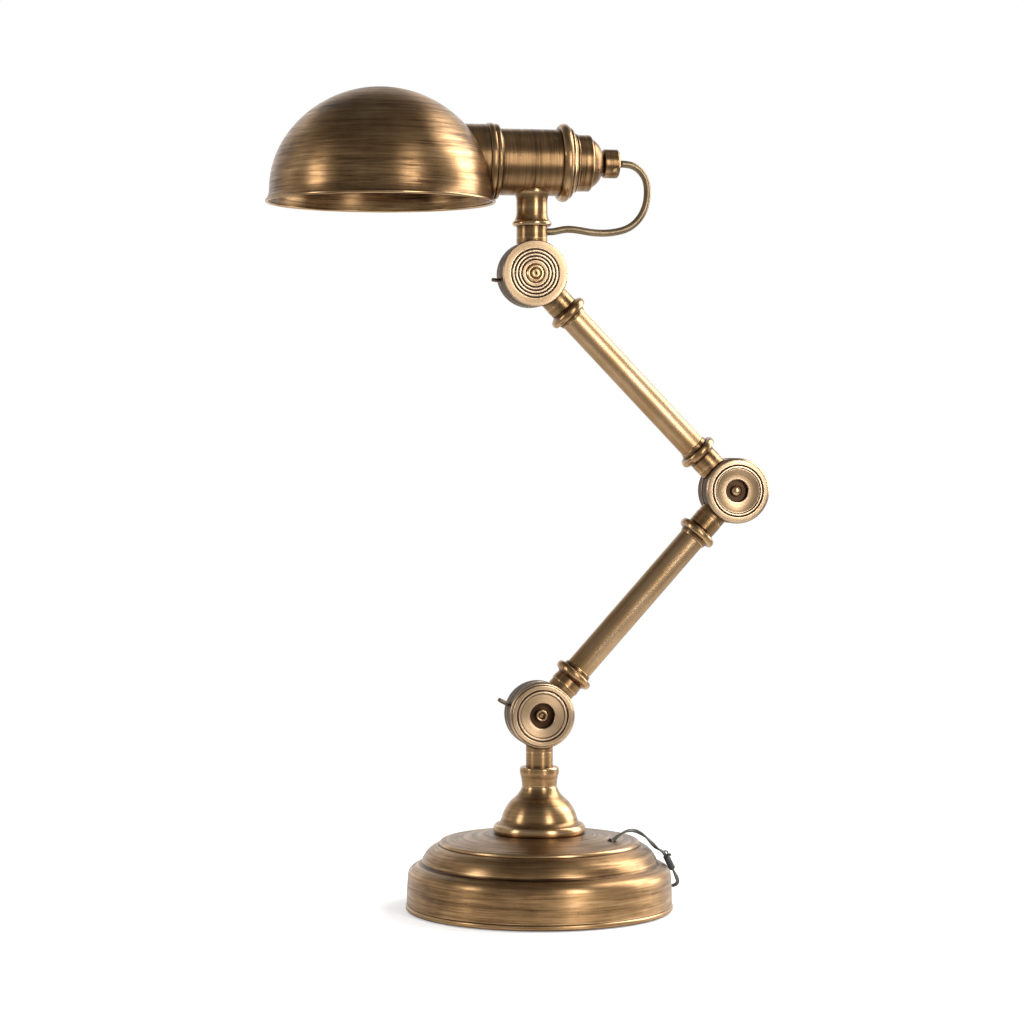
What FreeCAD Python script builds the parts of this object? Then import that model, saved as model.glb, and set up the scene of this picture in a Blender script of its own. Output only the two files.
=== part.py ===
"""Dome shade desk lamp: a two-arm brass reading lamp on a weighted round base.

The frame has its origin at the middle of the base's underside, +Z up, the arms in the XZ plane
with the elbow at +X, and every knuckle's pivot along Y. All sizes are millimetres and degrees.
"""
import FreeCAD, Part
import math
import os
import Sketcher

V = FreeCAD.Vector
UP = V(0, 0, 1)
ALONG_X = V(1, 0, 0)
ALONG_Y = V(0, 1, 0)

SIZES = {
    "base_radius": 89.4,
    "skirt_radius": 88.7,
    "ledge_radius": 65.2,
    "top_height": 51.0,
    "shell_wall": 1.6,
    "plate_top": 4.0,
    "weight_top": 20.0,
    "bell_radius": 30.9,
    "bell_top": 82.7,
    "collar_radius": 13.0,
    "collar_top": 95.4,
    "post_radius": 9.0,
    "nipple_radius": 5.0,
    "arm_length": 200.0,
    "lower_height": 130.4,
    "lower_angle": 48.2,
    "upper_angle": 133.8,
    "disc_radius": 22.0,
    "disc_half": 13.0,
    "gap_half": 2.25,
    "clear_radius": 22.5,
    "boss_radius": 9.4,
    "boss_top": 25.0,
    "spigot_radius": 7.2,
    "spigot_top": 38.0,
    "bolt_radius": 3.0,
    "bolt_hole": 3.08,
    "cam_radius": 18.5,
    "tube_radius": 8.8,
    "tube_bore": 7.3,
    "bead_radius": 13.5,
    "lead_radius": 1.3,
    "stem_radius": 10.3,
    "stem_top": 455.5,
    "neck_bottom": 455.7,
    "holder_height": 498.0,
    "holder_radius": 22.0,
    "holder_bore": 20.4,
    "spigot_front": 21.5,
    "spigot_end": -44.0,
    "shade_centre": -106.4,
    "shade_radius": 73.3,
    "shade_middle": 477.8,
    "shade_rise": 67.8,
    "crown_drop": 8.0,
    "shade_wall": 1.0,
    "rim_radius": 75.9,
    "rim_height": 469.6,
    "sleeve_radius": 24.9,
    "loop_radius": 2.4,
    "coil_inner": 10.0,
    "coil_pitch": 3.15,
    "globe_radius": 20.0,
    "globe_middle": -60.0,
    "plug_height": 13.0,
    "plug_length": 26.0,
}

# The mains cord's route, by hand: out of the ledge, over the shoulder, through the tie,
# round the back of the base and along the table to the coil.
CORD_ROUTE = [
    (42.4, -27.1, 46.9),
    (48.2, -25.8, 51.5),
    (55.0, -22.9, 54.3),
    (61.9, -19.0, 53.6),
    (69.0, -15.2, 49.2),
    (75.2, -10.6, 43.0),
    (79.6, -6.4, 38.9),
    (84.9, -2.6, 36.4),
    (92.0, 0.2, 23.2),
    (94.6, 2.7, 18.9),
    (96.6, 5.6, 15.2),
    (96.6, 10.0, 12.0),
    (94.8, 16.2, 10.2),
    (93.4, 25.2, 7.8),
    (90.2, 36.4, 4.8),
    (86.0, 48.6, 2.2),
    (81.0, 61.5, 1.3),
    (75.6, 75.2, 1.3),
    (69.8, 88.8, 1.3),
    (63.4, 102.1, 1.3),
    (56.87, 113.77, 1.3),
    (49.41, 123.92, 1.3),
]
LEAD_IN = V(5.8, 1.3, 4.6).normalize()

# The lead inside the base, from the ledge down under the nipple and up into it.
BASE_LEAD_ROUTE = [
    (42.4, -27.1, 46.9),
    (36.0, -28.5, 41.8),
    (26.5, -26.8, 36.6),
    (15.5, -20.5, 32.8),
    (7.0, -11.5, 31.0),
    (1.6, -2.9, 34.6),
    (0.0, 0.0, 43.0),
    (0.0, 0.0, 84.0),
]

# The last of the cord, from the coil's top down to the back of the plug.
TAIL_ROUTE = [
    (15.78, 129.28, 10.75),
    (11.2, 126.23, 10.75),
    (5.4, 122.6, 9.9),
    (-1.2, 118.6, 7.6),
    (-7.69, 116.96, 6.5),
    (-13.6, 118.0, 6.5),
]
PLUG_HEADING = 170.0

# The brass-coloured loop from the cord grip back into the stem, in the plane of the arms.
LOOP_ROUTE = [
    (54.6, 0.0, 498.0),
    (60.7, 0.0, 498.0),
    (66.4, 0.0, 495.6),
    (70.7, 0.0, 491.3),
    (73.1, 0.0, 485.6),
    (73.6, 0.0, 478.6),
    (72.7, 0.0, 471.4),
    (70.0, 0.0, 464.6),
    (65.6, 0.0, 458.8),
    (59.6, 0.0, 454.7),
    (52.4, 0.0, 452.6),
    (44.0, 0.0, 451.6),
    (35.0, 0.0, 452.0),
    (26.0, 0.0, 453.6),
    (18.4, 0.0, 454.2),
    (13.0, 0.0, 453.1),
    (8.6, 0.0, 452.1),
    (2.6, 0.0, 452.1),
]

COIL_MIDDLE = (30.0, 113.5)
COIL_START = 35.0
TURNS_IN_LAYER = (3.75, 3.75, 3.75, 3.5)
QUARTERS = 4

doc = FreeCAD.newDocument("desk_lamp")
sheet = doc.addObject("Spreadsheet::Sheet", "sizes")
kept = {}


def fill_sheet():
    """Writes each driving dimension into the sheet under its alias."""
    for row, (alias, value) in enumerate(SIZES.items(), 1):
        sheet.set(f"A{row}", alias)
        sheet.set(f"B{row}", str(value))
        sheet.setAlias(f"B{row}", alias)
    doc.recompute()


def read(term):
    """The number and the expression of a size: a number, an alias, or (alias, offset)."""
    if isinstance(term, str):
        return float(sheet.get(term)), f"sizes.{term}"
    if isinstance(term, tuple):
        alias, offset = term
        return float(sheet.get(alias)) + offset, f"sizes.{alias} + ({offset})"
    return float(term), None


def number(term):
    """The number alone."""
    return read(term)[0]


def shifted(term, by):
    """A size moved by an amount, still bound to its alias where it has one."""
    return (term, by) if isinstance(term, str) else term + by


def bind(item, name, term):
    """Sets a property of an object and binds it to the sheet."""
    value, expression = read(term)
    setattr(item, name, value)
    if expression:
        item.setExpression(name, expression)


def keep(item, label, place=None):
    """Registers a finished sub-part under its label, at its place."""
    item.Label = label
    if place is not None:
        item.Placement = place
    kept[label] = item
    return item


def upright(x=0.0, y=0.0, z=0.0):
    """A place with no turn."""
    return FreeCAD.Placement(V(x, y, z), FreeCAD.Rotation())


def aimed(start, direction):
    """A place at a point, with local Z along a direction."""
    return FreeCAD.Placement(V(*start), FreeCAD.Rotation(UP, V(*direction)))


def member(centre, angle):
    """A knuckle's place: local Z runs out along the member, at an angle above +X."""
    return FreeCAD.Placement(centre, FreeCAD.Rotation(ALONG_Y, 90.0 - angle))


def draw(sketch, outline):
    """Draws a closed outline of corners, with ("arc", u, v) between two corners for a round stretch."""
    corners = []
    bends = {}
    for entry in outline:
        if entry[0] == "arc":
            bends[len(corners) - 1] = V(entry[1], entry[2], 0)
        else:
            corners.append(entry)
    points = [V(number(u), number(v), 0) for u, v in corners]
    count = len(points)
    first, last, rules, bound = [], [], [], []
    for index, start in enumerate(points):
        end = points[(index + 1) % count]
        if index not in bends:
            sketch.addGeometry(Part.LineSegment(start, end), False)
            first.append(1)
            last.append(2)
            continue
        middle = bends[index]
        arc = Part.ArcOfCircle(start, middle, end)
        sketch.addGeometry(arc, False)
        left_turn = (middle - start).cross(end - middle).z > 0
        first.append(1 if left_turn else 2)
        last.append(2 if left_turn else 1)
        rules.append(Sketcher.Constraint("Radius", index, arc.Radius))
    for index in range(count):
        after = (index + 1) % count
        rules.append(Sketcher.Constraint("Coincident", index, last[index], after, first[after]))
    for index, (u, v) in enumerate(corners):
        for kind, axis, term in (("DistanceX", -2, u), ("DistanceY", -1, v)):
            value, expression = read(term)
            if value == 0:
                rules.append(Sketcher.Constraint("PointOnObject", index, first[index], axis))
                continue
            if expression:
                bound.append((len(rules), expression))
            rules.append(Sketcher.Constraint(kind, -1, 1, index, first[index], value))
    sketch.addConstraint(rules)
    for index, expression in bound:
        sketch.setExpression(f"Constraints[{index}]", expression)


def sketch_on(body, name, plane):
    """A sketch on one of a body's own origin planes."""
    sketch = body.newObject("Sketcher::SketchObject", name)
    face = next(item for item in body.Origin.OriginFeatures if item.Role == plane)
    sketch.AttachmentSupport = (face, [""])
    sketch.MapMode = "FlatFace"
    return sketch


def turned(name, outline, plane="XZ_Plane"):
    """A body turned from an outline of (radius, height) about Z, or about Y on the XY plane."""
    body = doc.addObject("PartDesign::Body", name)
    sketch = sketch_on(body, name + "_outline", plane)
    draw(sketch, outline)
    turn = body.newObject("PartDesign::Revolution", name + "_turn")
    turn.Profile = sketch
    turn.ReferenceAxis = (sketch, ["V_Axis"])
    turn.Angle = 360
    return body


def rod(name, radius, length, place):
    """A cylinder along its place's Z."""
    item = doc.addObject("Part::Cylinder", name)
    bind(item, "Radius", radius)
    bind(item, "Height", length)
    item.Placement = place
    return item


def joined(name, pieces):
    """Several solids fused into one."""
    item = doc.addObject("Part::MultiFuse", name)
    item.Shapes = pieces
    item.Refine = True
    return item


def cut(name, base, *tools):
    """A solid with one or more tools taken out of it."""
    item = doc.addObject("Part::Cut", name)
    item.Base = base
    item.Tool = tools[0] if len(tools) == 1 else joined(name + "_tools", list(tools))
    item.Refine = True
    return item


def solid_feature(name, shape):
    """A feature that holds a shape worked out in code."""
    item = doc.addObject("Part::Feature", name)
    item.Shape = shape
    return item


def hex_nut(name, across_flats, thickness, bore, flange=0.0, flange_thickness=1.0):
    """A hexagon nut from z 0 up, with its bore and, if asked, a round flange under it."""
    body = doc.addObject("PartDesign::Body", name)
    if flange:
        base = sketch_on(body, name + "_flange", "XY_Plane")
        base.addGeometry(Part.Circle(V(0, 0, 0), UP, flange), False)
        base.addConstraint(Sketcher.Constraint("Coincident", 0, 3, -1, 1))
        base.addConstraint(Sketcher.Constraint("Radius", 0, flange))
        rim = body.newObject("PartDesign::Pad", name + "_rim")
        rim.Profile = base
        rim.Length = flange_thickness
    sketch = sketch_on(body, name + "_flats", "XY_Plane")
    corner = number(across_flats) / math.sqrt(3)
    sixths = [math.radians(60 * k) for k in range(6)]
    draw(sketch, [(corner * math.cos(turn), corner * math.sin(turn)) for turn in sixths])
    pad = body.newObject("PartDesign::Pad", name + "_pad")
    pad.Profile = sketch
    bind(pad, "Length", thickness)
    hole = sketch_on(body, name + "_bore", "XY_Plane")
    hole.addGeometry(Part.Circle(V(0, 0, 0), UP, number(bore)), False)
    hole.addConstraint(Sketcher.Constraint("Coincident", 0, 3, -1, 1))
    hole.addConstraint(Sketcher.Constraint("Radius", 0, number(bore)))
    expression = read(bore)[1]
    if expression:
        hole.setExpression("Constraints[1]", expression)
    pocket = body.newObject("PartDesign::Pocket", name + "_hole")
    pocket.Profile = hole
    pocket.Type = 1
    pocket.Reversed = True
    body.Tip = pocket
    return body


# ---------------------------------------------------------------- paths of cords and leads


def rounded_path(route):
    """Straight runs joined by tangent arcs, each reaching 0.45 of its shorter run from the corner."""
    points = [V(*p) for p in route]
    edges = []
    radii = []
    at = points[0]
    for before, corner, after in zip(points, points[1:], points[2:]):
        reach = 0.45 * min((corner - before).Length, (after - corner).Length)
        inward = (corner - before).normalize()
        outward = (after - corner).normalize()
        half_turn = inward.getAngle(outward) / 2
        if half_turn < math.radians(0.05):
            continue
        radius = reach / math.tan(half_turn)
        aside = (outward - inward).normalize()
        centre = corner + aside * (radius / math.cos(half_turn))
        start = corner - inward * reach
        end = corner + outward * reach
        edges.append(Part.LineSegment(at, start).toShape())
        edges.append(Part.Arc(start, centre - aside * radius, end).toShape())
        radii.append(radius)
        at = end
    edges.append(Part.LineSegment(at, points[-1]).toShape())
    return Part.Wire(edges), radii


def piped(path, radius, start, heading):
    """A solid tube of a radius along a path."""
    ring = Part.Wire(Part.makeCircle(radius, start, heading))
    return path.makePipeShell([ring], True, False)


def tube_on(name, route, radius):
    """A cord's solid along its route; prints its bends and how true its volume is."""
    path, radii = rounded_path(route)
    start, following = V(*route[0]), V(*route[1])
    shape = piped(path, radius, start, following - start)
    ratio = shape.Volume / (math.pi * radius**2 * path.Length)
    smallest = min(radii)
    print(f"{name}: {path.Length:.1f} mm long, tightest {smallest:.1f} mm, volume ratio {ratio:.4f}")
    print("   radii", [round(r, 1) for r in radii])
    return solid_feature(name, shape)


# ---------------------------------------------------------------- base


def make_base_shell():
    """The spun base: skirt, shoulder, ogee and sloping ledge, one sheet thick."""
    wall = number("shell_wall")
    ledge = number("ledge_radius")
    outline = [
        ("skirt_radius", "plate_top"),
        (("skirt_radius", -0.7), 23.0),
        ("arc", 87.0, 26.6),
        (83.4, 29.6),
        (80.7, 30.6),
        ("arc", 79.3, 31.4),
        (78.7, 32.9),
        ("arc", 75.7, 38.3),
        (68.4, 43.4),
        (67.0, 43.7),
        ("arc", ledge + 1.5, 45.3),
        ("ledge_radius", 46.2),
        (31.6, "top_height"),
        (5.1, "top_height"),
        (5.1, ("top_height", -wall)),
        (31.4, ("top_height", -wall)),
        (64.0, 44.7),
        (66.6, 42.0),
        ("arc", 74.2, 37.0),
        (77.0, 32.4),
        (78.2, 29.9),
        (82.6, 28.2),
        ("arc", 85.6, 25.9),
        (("skirt_radius", -2.3), 22.8),
        (("skirt_radius", -wall), "plate_top"),
    ]
    shell = turned("base_shell_body", outline)
    hole = rod("cord_hole", 2.45, 14.0, aimed(V(*CORD_ROUTE[0]) - LEAD_IN * 7, LEAD_IN))
    keep(cut("base_shell", shell, hole), "base_shell")


def make_base_floor():
    """The bottom plate with its turned-in rim, the felt under it and the iron weight on it."""
    outline = [
        (84.6, 0.4),
        (("base_radius", -0.9), 0.4),
        ("arc", 89.3, 1.3),
        ("base_radius", 2.2),
        ("base_radius", 3.0),
        ("arc", 89.1, 3.6),
        (("base_radius", -1.2), "plate_top"),
        (0.0, "plate_top"),
        (0.0, 1.6),
        (84.6, 1.6),
    ]
    plate = turned("base_plate_body", outline)
    turns = [math.radians(angle) for angle in (90, 210, 330)]
    spots = [(50 * math.cos(turn), 50 * math.sin(turn)) for turn in turns]
    holes = [rod(f"plate_hole_{k}", 2.6, 6.0, upright(x, y, 0)) for k, (x, y) in enumerate(spots)]
    sinks = [rod(f"plate_sink_{k}", 5.2, 1.6, upright(x, y, 1.5)) for k, (x, y) in enumerate(spots)]
    keep(cut("base_plate", plate, *holes, *sinks), "base_plate")

    keep(turned("felt_pad", [(0, 0), (84.0, 0), (84.0, 1.6), (0, 1.6)]), "felt_pad")

    weight = turned(
        "base_weight_body",
        [
            (24.0, "plate_top"),
            (83.0, "plate_top"),
            (84.5, 5.5),
            (84.5, ("weight_top", -2.0)),
            (82.5, "weight_top"),
            (26.0, "weight_top"),
            (24.0, ("weight_top", -2.0)),
        ],
    )
    taps = [rod(f"weight_tap_{k}", 2.55, 12.0, upright(x, y, 3.0)) for k, (x, y) in enumerate(spots)]
    keep(cut("base_weight", weight, *taps), "base_weight")

    screws = []
    for k, (x, y) in enumerate(spots):
        head = rod(f"screw_head_{k}", 4.6, 1.4, upright(x, y, 1.65))
        shank = rod(f"screw_shank_{k}", 2.5, 11.0, upright(x, y, 2.6))
        screws.append(joined(f"weight_screw_{k}", [head, shank]))
    group = doc.addObject("Part::Compound", "weight_screws")
    group.Links = screws
    keep(group, "weight_screws")


def make_base_stack():
    """The bell, the collar over it, and the nipple and flanged nut that clamp them to the shell."""
    bell = [
        (25.5, "top_height"),
        (30.0, "top_height"),
        ("arc", number("bell_radius"), 54.1),
        (29.7, 57.1),
        ("arc", 26.7, 58.6),
        (25.2, 61.6),
        ("arc", 22.9, 67.4),
        (18.2, 73.6),
        ("arc", 13.7, 77.9),
        (11.6, "bell_top"),
        (5.1, "bell_top"),
        (5.1, ("bell_top", -3.0)),
        (9.2, ("bell_top", -3.6)),
        ("arc", 11.4, 76.1),
        (16.0, 72.0),
        ("arc", 20.6, 66.5),
        (22.9, 60.9),
        (25.5, 57.2),
    ]
    keep(turned("base_bell", bell), "base_bell")
    collar = [
        (5.06, "bell_top"),
        (11.6, "bell_top"),
        ("arc", 11.9, 86.6),
        (("collar_radius", -0.2), 90.6),
        ("collar_radius", 91.2),
        ("collar_radius", ("collar_top", -0.9)),
        (("collar_radius", -0.6), "collar_top"),
        (("post_radius", 0.08), "collar_top"),
        (("post_radius", 0.08), 88.8),
        (10.6, 88.8),
        (10.6, 85.2),
        (5.06, 85.2),
    ]
    keep(turned("base_collar", collar), "base_collar")
    nipple = [
        (3.2, 40.0),
        (("nipple_radius", -0.4), 40.0),
        ("nipple_radius", 40.4),
        ("nipple_radius", 85.1),
        (3.2, 85.1),
    ]
    keep(turned("base_nipple", nipple), "base_nipple")
    nut = hex_nut("base_nut", 15.0, 6.0, ("nipple_radius", 0.05), flange=11.0, flange_thickness=1.4)
    keep(nut, "base_nut", aimed((0, 0, number("top_height") - number("shell_wall")), -UP))


def make_base_lead():
    """The grommet in the ledge and the lead from it to the nipple."""
    exit_point = V(*CORD_ROUTE[0])
    bush = turned("cord_grommet", [(1.35, 0), (2.4, 0), (2.4, 4.2), (2.0, 4.8), (1.35, 4.8)])
    keep(bush, "cord_grommet", aimed(exit_point - LEAD_IN * 2.6, LEAD_IN))
    keep(tube_on("base_lead", BASE_LEAD_ROUTE, number("lead_radius")), "base_lead")


# ---------------------------------------------------------------- knuckles


def grooves(radii, face, depth, width=0.5):
    """Square grooves in a disc's face, from the outer one inward."""
    points = []
    for radius in radii:
        points += [(radius + width, face), (radius + 0.6 * width, face + depth)]
        points += [(radius - 0.6 * width, face + depth), (radius - width, face)]
    return points


def lower_face():
    """Stepped rim, ring, flat band and a bolt recess, on the front of the lower knuckle."""
    return [
        ("disc_radius", -9.6),
        ("arc", 21.7, -10.9),
        (20.6, -11.4),
        (20.4, -12.6),
        (19.9, -13.0),
        (17.5, -13.0),
        (17.2, -12.1),
        (16.6, -12.1),
        (16.3, -12.9),
        (15.2, -12.9),
        (14.8, -12.2),
        (8.9, -12.0),
        (8.4, -11.6),
        (8.4, -6.6),
    ]


def elbow_face():
    """Bevelled rim, two grooves, a dished band and a bolt recess, on the front of the elbow."""
    return [
        ("disc_radius", -10.4),
        ("arc", 21.4, -12.0),
        (19.8, -12.9),
        (17.7, -13.0),
        (17.4, -12.0),
        (16.9, -12.0),
        (16.6, -13.0),
        (15.6, -13.0),
        (15.3, -12.0),
        (14.8, -12.2),
        ("arc", 11.5, -10.9),
        (7.9, -10.4),
        (7.5, -9.8),
        (7.5, -6.6),
    ]


def head_face():
    """A flat rim and a raised target of rings, on the front of the head knuckle."""
    rim = [("disc_radius", -12.0), ("arc", 21.7, -12.7), (21.0, -13.0)]
    target = grooves((15.9, 13.6, 11.3, 9.1), -13.0, 0.9)
    return rim + target + [(6.8, -13.0), (6.2, -12.6), (6.2, -6.6)]


def back_face():
    """A rounded rim, one groove and a nut recess, on the back of every knuckle."""
    return [
        ("disc_radius", 10.6),
        ("arc", 21.4, 12.1),
        (19.8, 12.9),
        (17.7, 13.0),
        (17.4, 12.1),
        (16.9, 12.1),
        (16.6, 13.0),
        (8.4, 13.0),
        (7.8, 12.4),
        (7.8, 6.6),
    ]


def knuckle_half(name, side, face, place, boss=None, top=None, spigot=None, wire=True):
    """One half of a knuckle: a faced disc on its own side of the gap, with a boss in the arms' plane.

    The boss is cut away wherever the other half's disc turns, so it starts past that disc's edge.
    """
    boss = boss or "boss_radius"
    top = top or "boss_top"
    spigot = spigot or "spigot_top"
    gap = number("gap_half") * side
    outline = [("bolt_hole", gap), ("disc_radius", gap)] + face + [("bolt_hole", 6.6 * side)]
    disc = turned(name + "_disc", outline, plane="XY_Plane")
    root = 14.0
    stub = rod(name + "_boss", boss, shifted(top, -root), upright(0, 0, root))
    plug = rod(name + "_spigot", "spigot_radius", shifted(spigot, -root), upright(0, 0, root))
    arm = joined(name + "_arm", [stub, plug])
    depth = number("disc_half") + number("gap_half") + 1.0
    start = gap if side < 0 else gap - depth
    sweep = rod(name + "_sweep", "clear_radius", depth, aimed((0, start, 0), ALONG_Y))
    trimmed = cut(name + "_trimmed", arm, sweep)
    whole = joined(name + "_whole", [disc, trimmed])
    if wire:
        bore = rod(name + "_wire", 3.0, 30.0, upright(0, 0, root + 1.5))
        whole = cut(name + "_bored", whole, bore)
    return keep(whole, name, place)


def make_pivot(joint, centre, bolt_head, front):
    """A pivot bolt with its head at the front, and a flanged nut in the back recess."""
    shank = [("bolt_radius", front), ("bolt_radius", 12.2), (2.6, 12.6), (0, 12.6)]
    place = FreeCAD.Placement(centre, FreeCAD.Rotation())
    keep(turned(f"{joint}_bolt", bolt_head + shank, plane="XY_Plane"), f"{joint}_bolt", place)
    nut = hex_nut(f"{joint}_nut", 10.0, 5.2, ("bolt_radius", 0.04), flange=6.8)
    keep(nut, f"{joint}_nut", aimed(centre + V(0, 6.65, 0), ALONG_Y))


def make_cam_lever(name, centre, root, tip, peg_radius):
    """A cam ring in a knuckle's gap, with a short round peg that clamps or frees the joint."""
    section = [(6.4, -1.95), ("cam_radius", -1.95), ("cam_radius", 1.95), (6.4, 1.95)]
    ring = turned(name + "_ring", section, plane="XY_Plane")
    start, end = V(root[0], 0, root[1]), V(tip[0], 0, tip[1])
    inside = start * (14.5 / start.Length)
    neck = rod(name + "_neck", peg_radius, (start - inside).Length, aimed(inside, start - inside))
    elbow = doc.addObject("Part::Sphere", name + "_bend")
    elbow.Radius = peg_radius
    elbow.Placement.Base = start
    reach = (end - start).normalize()
    peg = rod(name + "_peg", peg_radius, (end - start).Length - peg_radius, aimed(start, end - start))
    ball = doc.addObject("Part::Sphere", name + "_end")
    ball.Radius = peg_radius
    ball.Placement.Base = end - reach * peg_radius
    place = FreeCAD.Placement(centre, FreeCAD.Rotation())
    keep(joined(name, [ring, neck, elbow, peg, ball]), name, place)


def make_friction_washer(name, centre):
    """The plain friction washer of the elbow, which has no lever."""
    outline = [(3.2, -1.95), ("cam_radius", -1.95), ("cam_radius", 1.95), (3.2, 1.95)]
    keep(turned(name, outline, plane="XY_Plane"), name, FreeCAD.Placement(centre, FreeCAD.Rotation()))


# ---------------------------------------------------------------- arms


def ferrule(name, place, bead_at, root_radius):
    """The turned collar between a knuckle's boss and an arm's tube, with a bead round it."""
    start = number("boss_top") + 0.15
    socket = bead_at - 1.0
    bead = number("bead_radius")
    outline = [
        (("spigot_radius", 0.05), start),
        (root_radius, start),
        (9.5, bead_at - 3.9),
        (("bead_radius", -2.6), bead_at - 3.0),
        (("bead_radius", -0.9), bead_at - 2.3),
        ("arc", bead, bead_at),
        (("bead_radius", -0.9), bead_at + 2.3),
        (("bead_radius", -3.0), bead_at + 2.6),
        (10.0, bead_at + 3.1),
        (9.5, bead_at + 5.4),
        (("tube_radius", 0.05), bead_at + 5.6),
        (("tube_radius", 0.05), socket),
        (("spigot_radius", 0.05), socket),
    ]
    keep(turned(name, outline), name, place)


def make_arm(name, start, angle, beads, roots, sides, faces):
    """An arm between two knuckles: its two half knuckles, ferrules, tube and inner lead."""
    length = number("arm_length")
    along = V(math.cos(math.radians(angle)), 0, math.sin(math.radians(angle)))
    end = start + along * length
    near, far = member(start, angle), member(end, angle + 180.0)
    ferrule(f"{name}_bottom_ferrule", near, beads[0], roots[0])
    ferrule(f"{name}_top_ferrule", far, beads[1], roots[1])
    knuckle_half(f"{name}_bottom_knuckle", sides[0], faces[0], near)
    knuckle_half(f"{name}_top_knuckle", sides[1], faces[1], far)
    low, high = beads[0] - 0.9, length - beads[1] + 0.9
    tube = [("tube_bore", low), ("tube_radius", low), ("tube_radius", high), ("tube_bore", high)]
    keep(turned(f"{name}_tube", tube), f"{name}_tube", near)
    inset = 19.4
    lead_place = member(start + along * inset, angle)
    keep(rod(f"{name}_lead", "lead_radius", ("arm_length", -2 * inset), lead_place), f"{name}_lead")
    return end


def make_post(centre):
    """The short post that turns in the collar and carries the lower knuckle."""
    top = number("lower_height") - number("boss_top") - 0.15
    outline = [
        (7.25, 85.6),
        (10.3, 85.6),
        (10.3, 88.4),
        ("post_radius", 88.4),
        ("post_radius", top),
        (7.25, top),
    ]
    keep(turned("post_tube", outline), "post_tube")
    knuckle_half("post_knuckle", 1, back_face(), member(centre, -90.0), boss="post_radius")
    keep(rod("post_lead", "lead_radius", 24.6, upright(0, 0, 86.4)), "post_lead")


# ---------------------------------------------------------------- head


def make_stem(centre):
    """The short stem over the head knuckle, with the hole where the loop goes in and the swivel stud."""
    bottom = centre.z + 24.15
    outline = [(7.25, bottom), ("stem_radius", bottom), ("stem_radius", "stem_top"), (7.25, "stem_top")]
    stem = turned("stem_body", outline)
    stem.Placement = upright(centre.x, 0, 0)
    mouth = (centre.x + 6.0, 0, LOOP_ROUTE[-1][2])
    hole = rod("stem_hole", ("loop_radius", 0.1), 12.0, aimed(mouth, ALONG_X))
    keep(cut("stem", stem, hole), "stem")
    knuckle_half("head_knuckle", -1, head_face(), member(centre, 90.0), boss="stem_radius", top=24.0,
                 spigot=31.0, wire=False)
    stud = turned("swivel_stud", [(0, 458.0), (3.9, 458.0), (3.9, 475.4), (3.5, 475.8), (0, 475.8)])
    keep(stud, "swivel_stud", upright(centre.x, 0, -2.9))
    nut = hex_nut("swivel_nut", 12.0, 3.0, 3.94)
    keep(nut, "swivel_nut", upright(centre.x, 0, 469.6))


def make_holder_body(centre):
    """The lampholder's tee: the tube along X with its front flange, and the neck that turns on the stem."""
    barrel = [
        ("holder_bore", "spigot_end"),
        ("spigot_front", "spigot_end"),
        ("spigot_front", -31.5),
        (24.6, -31.5),
        ("arc", 25.1, -30.0),
        (24.6, -28.6),
        (22.6, -28.2),
        ("holder_radius", -27.2),
        ("holder_radius", 20.0),
        ("holder_bore", 20.0),
    ]
    tube = turned("holder_barrel", barrel)
    tube.Placement = aimed((0, 0, number("holder_height")), ALONG_X)
    neck = turned(
        "holder_neck",
        [
            (3.98, "neck_bottom"),
            (12.2, "neck_bottom"),
            ("arc", 13.1, 457.4),
            (12.3, 459.0),
            (11.7, 459.4),
            ("arc", 10.7, 462.0),
            ("stem_radius", 466.5),
            ("stem_radius", 472.0),
            ("arc", 10.7, 475.0),
            (12.2, 478.0),
            (12.2, 488.0),
            (8.2, 488.0),
            (8.2, 469.4),
            (3.98, 469.4),
        ],
    )
    neck.Placement = upright(centre.x, 0, 0)
    inside = rod("holder_inside", "holder_bore", 60.0, aimed((-40.0, 0, number("holder_height")), ALONG_X))
    throat = rod("holder_throat", 8.2, 20.0, upright(centre.x, 0, 470.0))
    trimmed = cut("holder_neck_trimmed", neck, inside)
    opened = cut("holder_barrel_opened", tube, throat)
    keep(joined("lampholder_body", [opened, trimmed]), "lampholder_body")


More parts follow.
